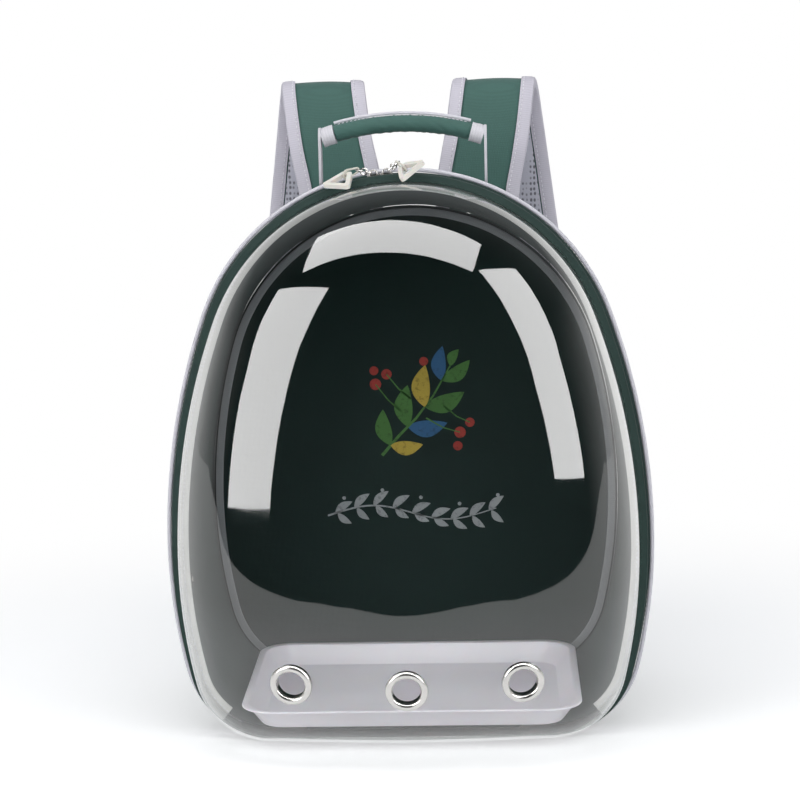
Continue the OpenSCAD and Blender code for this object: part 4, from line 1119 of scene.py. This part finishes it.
def make_print():
    """A loose posy of leaves and berries, with a pale sprig below it."""
    cx, cz = POSY_AT
    stem = [(cx - 30, cz - 38), (cx - 16, cz - 22), (cx - 2, cz - 8), (cx + 12, cz + 10), (cx + 26, cz + 34)]
    greens, yellows, blues = [stroke(stem, 2.6, 1.2)], [], []
    leaves = ((30, 13, greens), (26, 12, yellows), (34, 15, greens), (32, 14, blues), (34, 15, yellows),
              (34, 15, greens), (28, 12, blues), (28, 12, greens))
    for k, (length, width, colour) in enumerate(leaves):
        side = -1 if k % 2 else 1
        a, b = Vector(stem[k // 2]), Vector(stem[k // 2 + 1])
        p = a.lerp(b, 0.5)
        deg = degrees(atan2((b - a).y, (b - a).x)) + side * (52 - 4 * k)
        colour.append(leaf(p.x, p.y, length, width, deg, 0.1 * side))
    greens.append(leaf(*stem[-1], 15, 8, 62, 0.12))
    reds = [disc(cx + x, cz + z, r) for x, z, r in (
        (-34, 20, 4.6), (-25, 28, 4.2), (-35, 31, 3.6), (33, -20, 4.6), (41, -12, 3.8), (31, -31, 3.8), (5, 38, 3.6))]
    for x0, z0, x1, z1 in ((-34, 20, -14, -2), (-25, 28, -6, 8), (33, -20, 6, -8), (41, -12, 20, 2)):
        stalk = [(cx + x0, cz + z0), (cx + (x0 + x1) / 2, cz + (z0 + z1) / 2 - 2), (cx + x1, cz + z1)]
        greens.append(stroke(stalk, 0.9, 1.3))
    print_piece("blue", blues, rgb(52, 104, 150), 0.26)
    print_piece("yellow", yellows, rgb(206, 178, 70), 0.30)
    print_piece("green", greens, rgb(78, 128, 60), 0.28)
    print_piece("red", reds, rgb(176, 62, 52), 0.24)

    fx, fz = SPRIG_AT
    pales, pitch = [], 15.5
    for k in range(9):
        x, z = fx - 62 + k * pitch, fz + 6 * sin(k * 0.8)
        pales.append(leaf(x, z, 17, 6.4, 34 + 10 * sin(k), 0.08))
        pales.append(leaf(x + 2, z, 14, 5.6, -38 - 8 * sin(k), -0.08))
        if k % 2 == 0:
            pales.append(disc(x + 7.5, z + 12.5, 1.5, 14))
    twig = [(fx - 68 + k * 4, fz + 6 * sin((k * 4 - 6) / pitch * 0.8)) for k in range(35)]
    pales.append(stroke(twig, 1.5, 0.9))
    print_piece("sprig", pales, rgb(168, 172, 174), 0.2)


# ---------- studio ----------

AIM = (0, -0.05, 0.24)
FLOOR_EDGE = -0.75
CAMERA_LENS, CAMERA_DISTANCE = 109.8, 1.8
CAMERA_YAW, CAMERA_RISE, CAMERA_ROLL = 2.3, 9.5, -1.3
CAMERA_TARGET = (-0.0045, -0.073, 0.2545)
WHITE = (1, 1, 1, 1)


def light(name, at, size, radiance):
    """Soft rectangular lamp of a given surface brightness."""
    data = bpy.data.lights.new(name, "AREA")
    data.shape = "RECTANGLE"
    data.size, data.size_y = size
    data.energy = radiance * pi * size[0] * size[1]
    obj = bpy.data.objects.new(name, data)
    bpy.context.scene.collection.objects.link(obj)
    obj.location = at
    obj.rotation_euler = (Vector(AIM) - Vector(at)).to_track_quat("-Z", "Y").to_euler()
    return obj


def make_world():
    """White to the eye; glossy surfaces mirror white behind the carrier and a dark studio in front."""
    n = Nodes("studio", world=True)
    ray = n.add("LightPath").outputs
    white = n.add("Background", {0: WHITE, 1: 1.0})
    dim = n.add("Background", {0: (0.9, 0.94, 1.0, 1), 1: 0.34})
    way = n.add("SeparateXYZ", {0: n.add("TexCoord").outputs["Generated"]}).outputs
    behind = n.ramp(n.mad(way[1], 0.5, 0.5), [(0.3, (0.02, 0.022, 0.024, 1)), (0.75, WHITE)])
    above = n.ramp(n.mad(way[2], 0.5, 0.5), [(0.52, WHITE), (0.75, (0.15, 0.155, 0.16, 1))])
    room = n.add("Background", {0: n.mix(1.0, behind, above, "MULTIPLY"), 1: 1.0})
    lit = n.add("MixShader", {0: ray["Is Glossy Ray"], 1: dim.outputs[0], 2: room.outputs[0]})
    seen = n.math("MAXIMUM", ray["Is Camera Ray"], ray["Is Transmission Ray"])
    return n.show(n.add("MixShader", {0: seen, 1: lit.outputs[0], 2: white.outputs[0]}))


def make_floor():
    """Floor: white to the eye, with the object's shadow, and pale to the lamps."""
    n = Nodes("floor_paper")
    co = n.coords()
    tone = n.mix(n.noise(co, 5.0, 3.0), (0.93, 0.93, 0.93, 1), (0.97, 0.97, 0.97, 1))
    paper = n.add("BsdfPrincipled", {"Base Color": tone, "Roughness": 0.75, "Specular IOR Level": 0.2})
    glow = n.add("Emission", {"Color": WHITE, "Strength": 0.35})
    near = n.add("AddShader", {0: paper.outputs[0], 1: glow.outputs[0]})
    plain = n.add("Emission", {"Color": WHITE, "Strength": 1.0})
    place = n.add("SeparateXYZ", {0: co}).outputs
    away = n.math("SQRT", n.math("ADD", n.math("POWER", place[0], 2.0), n.math("POWER", place[1], 2.0)))
    fade = n.ramp(away, [(0.3, (0, 0, 0, 1)), (0.75, WHITE)], "EASE")
    total = n.add("MixShader", {0: fade, 1: near.outputs[0], 2: plain.outputs[0]})
    ray = n.add("LightPath").outputs
    seen = n.math("MAXIMUM", ray["Is Camera Ray"], ray["Is Transmission Ray"])
    seen = n.math("MAXIMUM", seen, ray["Is Glossy Ray"])
    mesh = bpy.data.meshes.new("floor")
    mesh.from_pydata([(-30, FLOOR_EDGE, 0), (30, FLOOR_EDGE, 0), (30, 60, 0), (-30, 60, 0)], [], [(0, 1, 2, 3)])
    mesh.materials.append(n.show(n.add("MixShader", {0: seen, 1: paper.outputs[0], 2: total.outputs[0]})))
    floor = bpy.data.objects.new("floor", mesh)
    bpy.context.scene.collection.objects.link(floor)


def make_studio():
    scene = bpy.context.scene
    scene.view_settings.view_transform = "Standard"
    scene.world = make_world()
    # each softbox once for matt surfaces and once, brighter and just before it, for what mirrors it
    for name, at, size, radiance, shine in (("left", (-1.35, -1.25, 0.8), (0.95, 1.55), 2.4, 6.6),
                                            ("right", (1.42, -1.14, 1.0), (0.8, 1.75), 2.3, 6.8),
                                            ("top", (-0.15, -0.75, 2.0), (2.1, 0.85), 2.8, 6.4)):
        light("softbox_" + name, at, size, radiance).visible_glossy = False
        light("glint_" + name, Vector(at) * 0.97, size, shine).visible_diffuse = False
    make_floor()


def make_camera():
    data = bpy.data.cameras.new("camera")
    data.sensor_width = 36
    data.lens = CAMERA_LENS
    data.clip_start, data.clip_end = 0.05, 50
    cam = bpy.data.objects.new("camera", data)
    bpy.context.scene.collection.objects.link(cam)
    az, el = radians(CAMERA_YAW), radians(CAMERA_RISE)
    back = Vector((sin(az) * cos(el), -cos(az) * cos(el), sin(el)))
    roll = Matrix.Rotation(radians(CAMERA_ROLL), 3, "Z").to_quaternion()
    cam.location = Vector(CAMERA_TARGET) + back * CAMERA_DISTANCE
    cam.rotation_mode = "QUATERNION"
    cam.rotation_quaternion = (-back).to_track_quat("-Z", "Y") @ roll
    bpy.context.scene.camera = cam


make_camera()
make_studio()
make_cabin()
make_floor_pad()
make_back_pad()
zip_half("zip_cabin", "zip_tape_cabin", "cabin", 10.25, 16.85, 11.4)
zip_half("zip_door", "zip_tape_door", "door", 2.45, 9.05, 7.9)
make_door()
make_dome()
make_tray()
make_handle()
make_yoke()
for side, tag in ((-1, "left"), (1, "right")):
    make_strap(side, tag)
    make_pull(side, tag)
make_print()
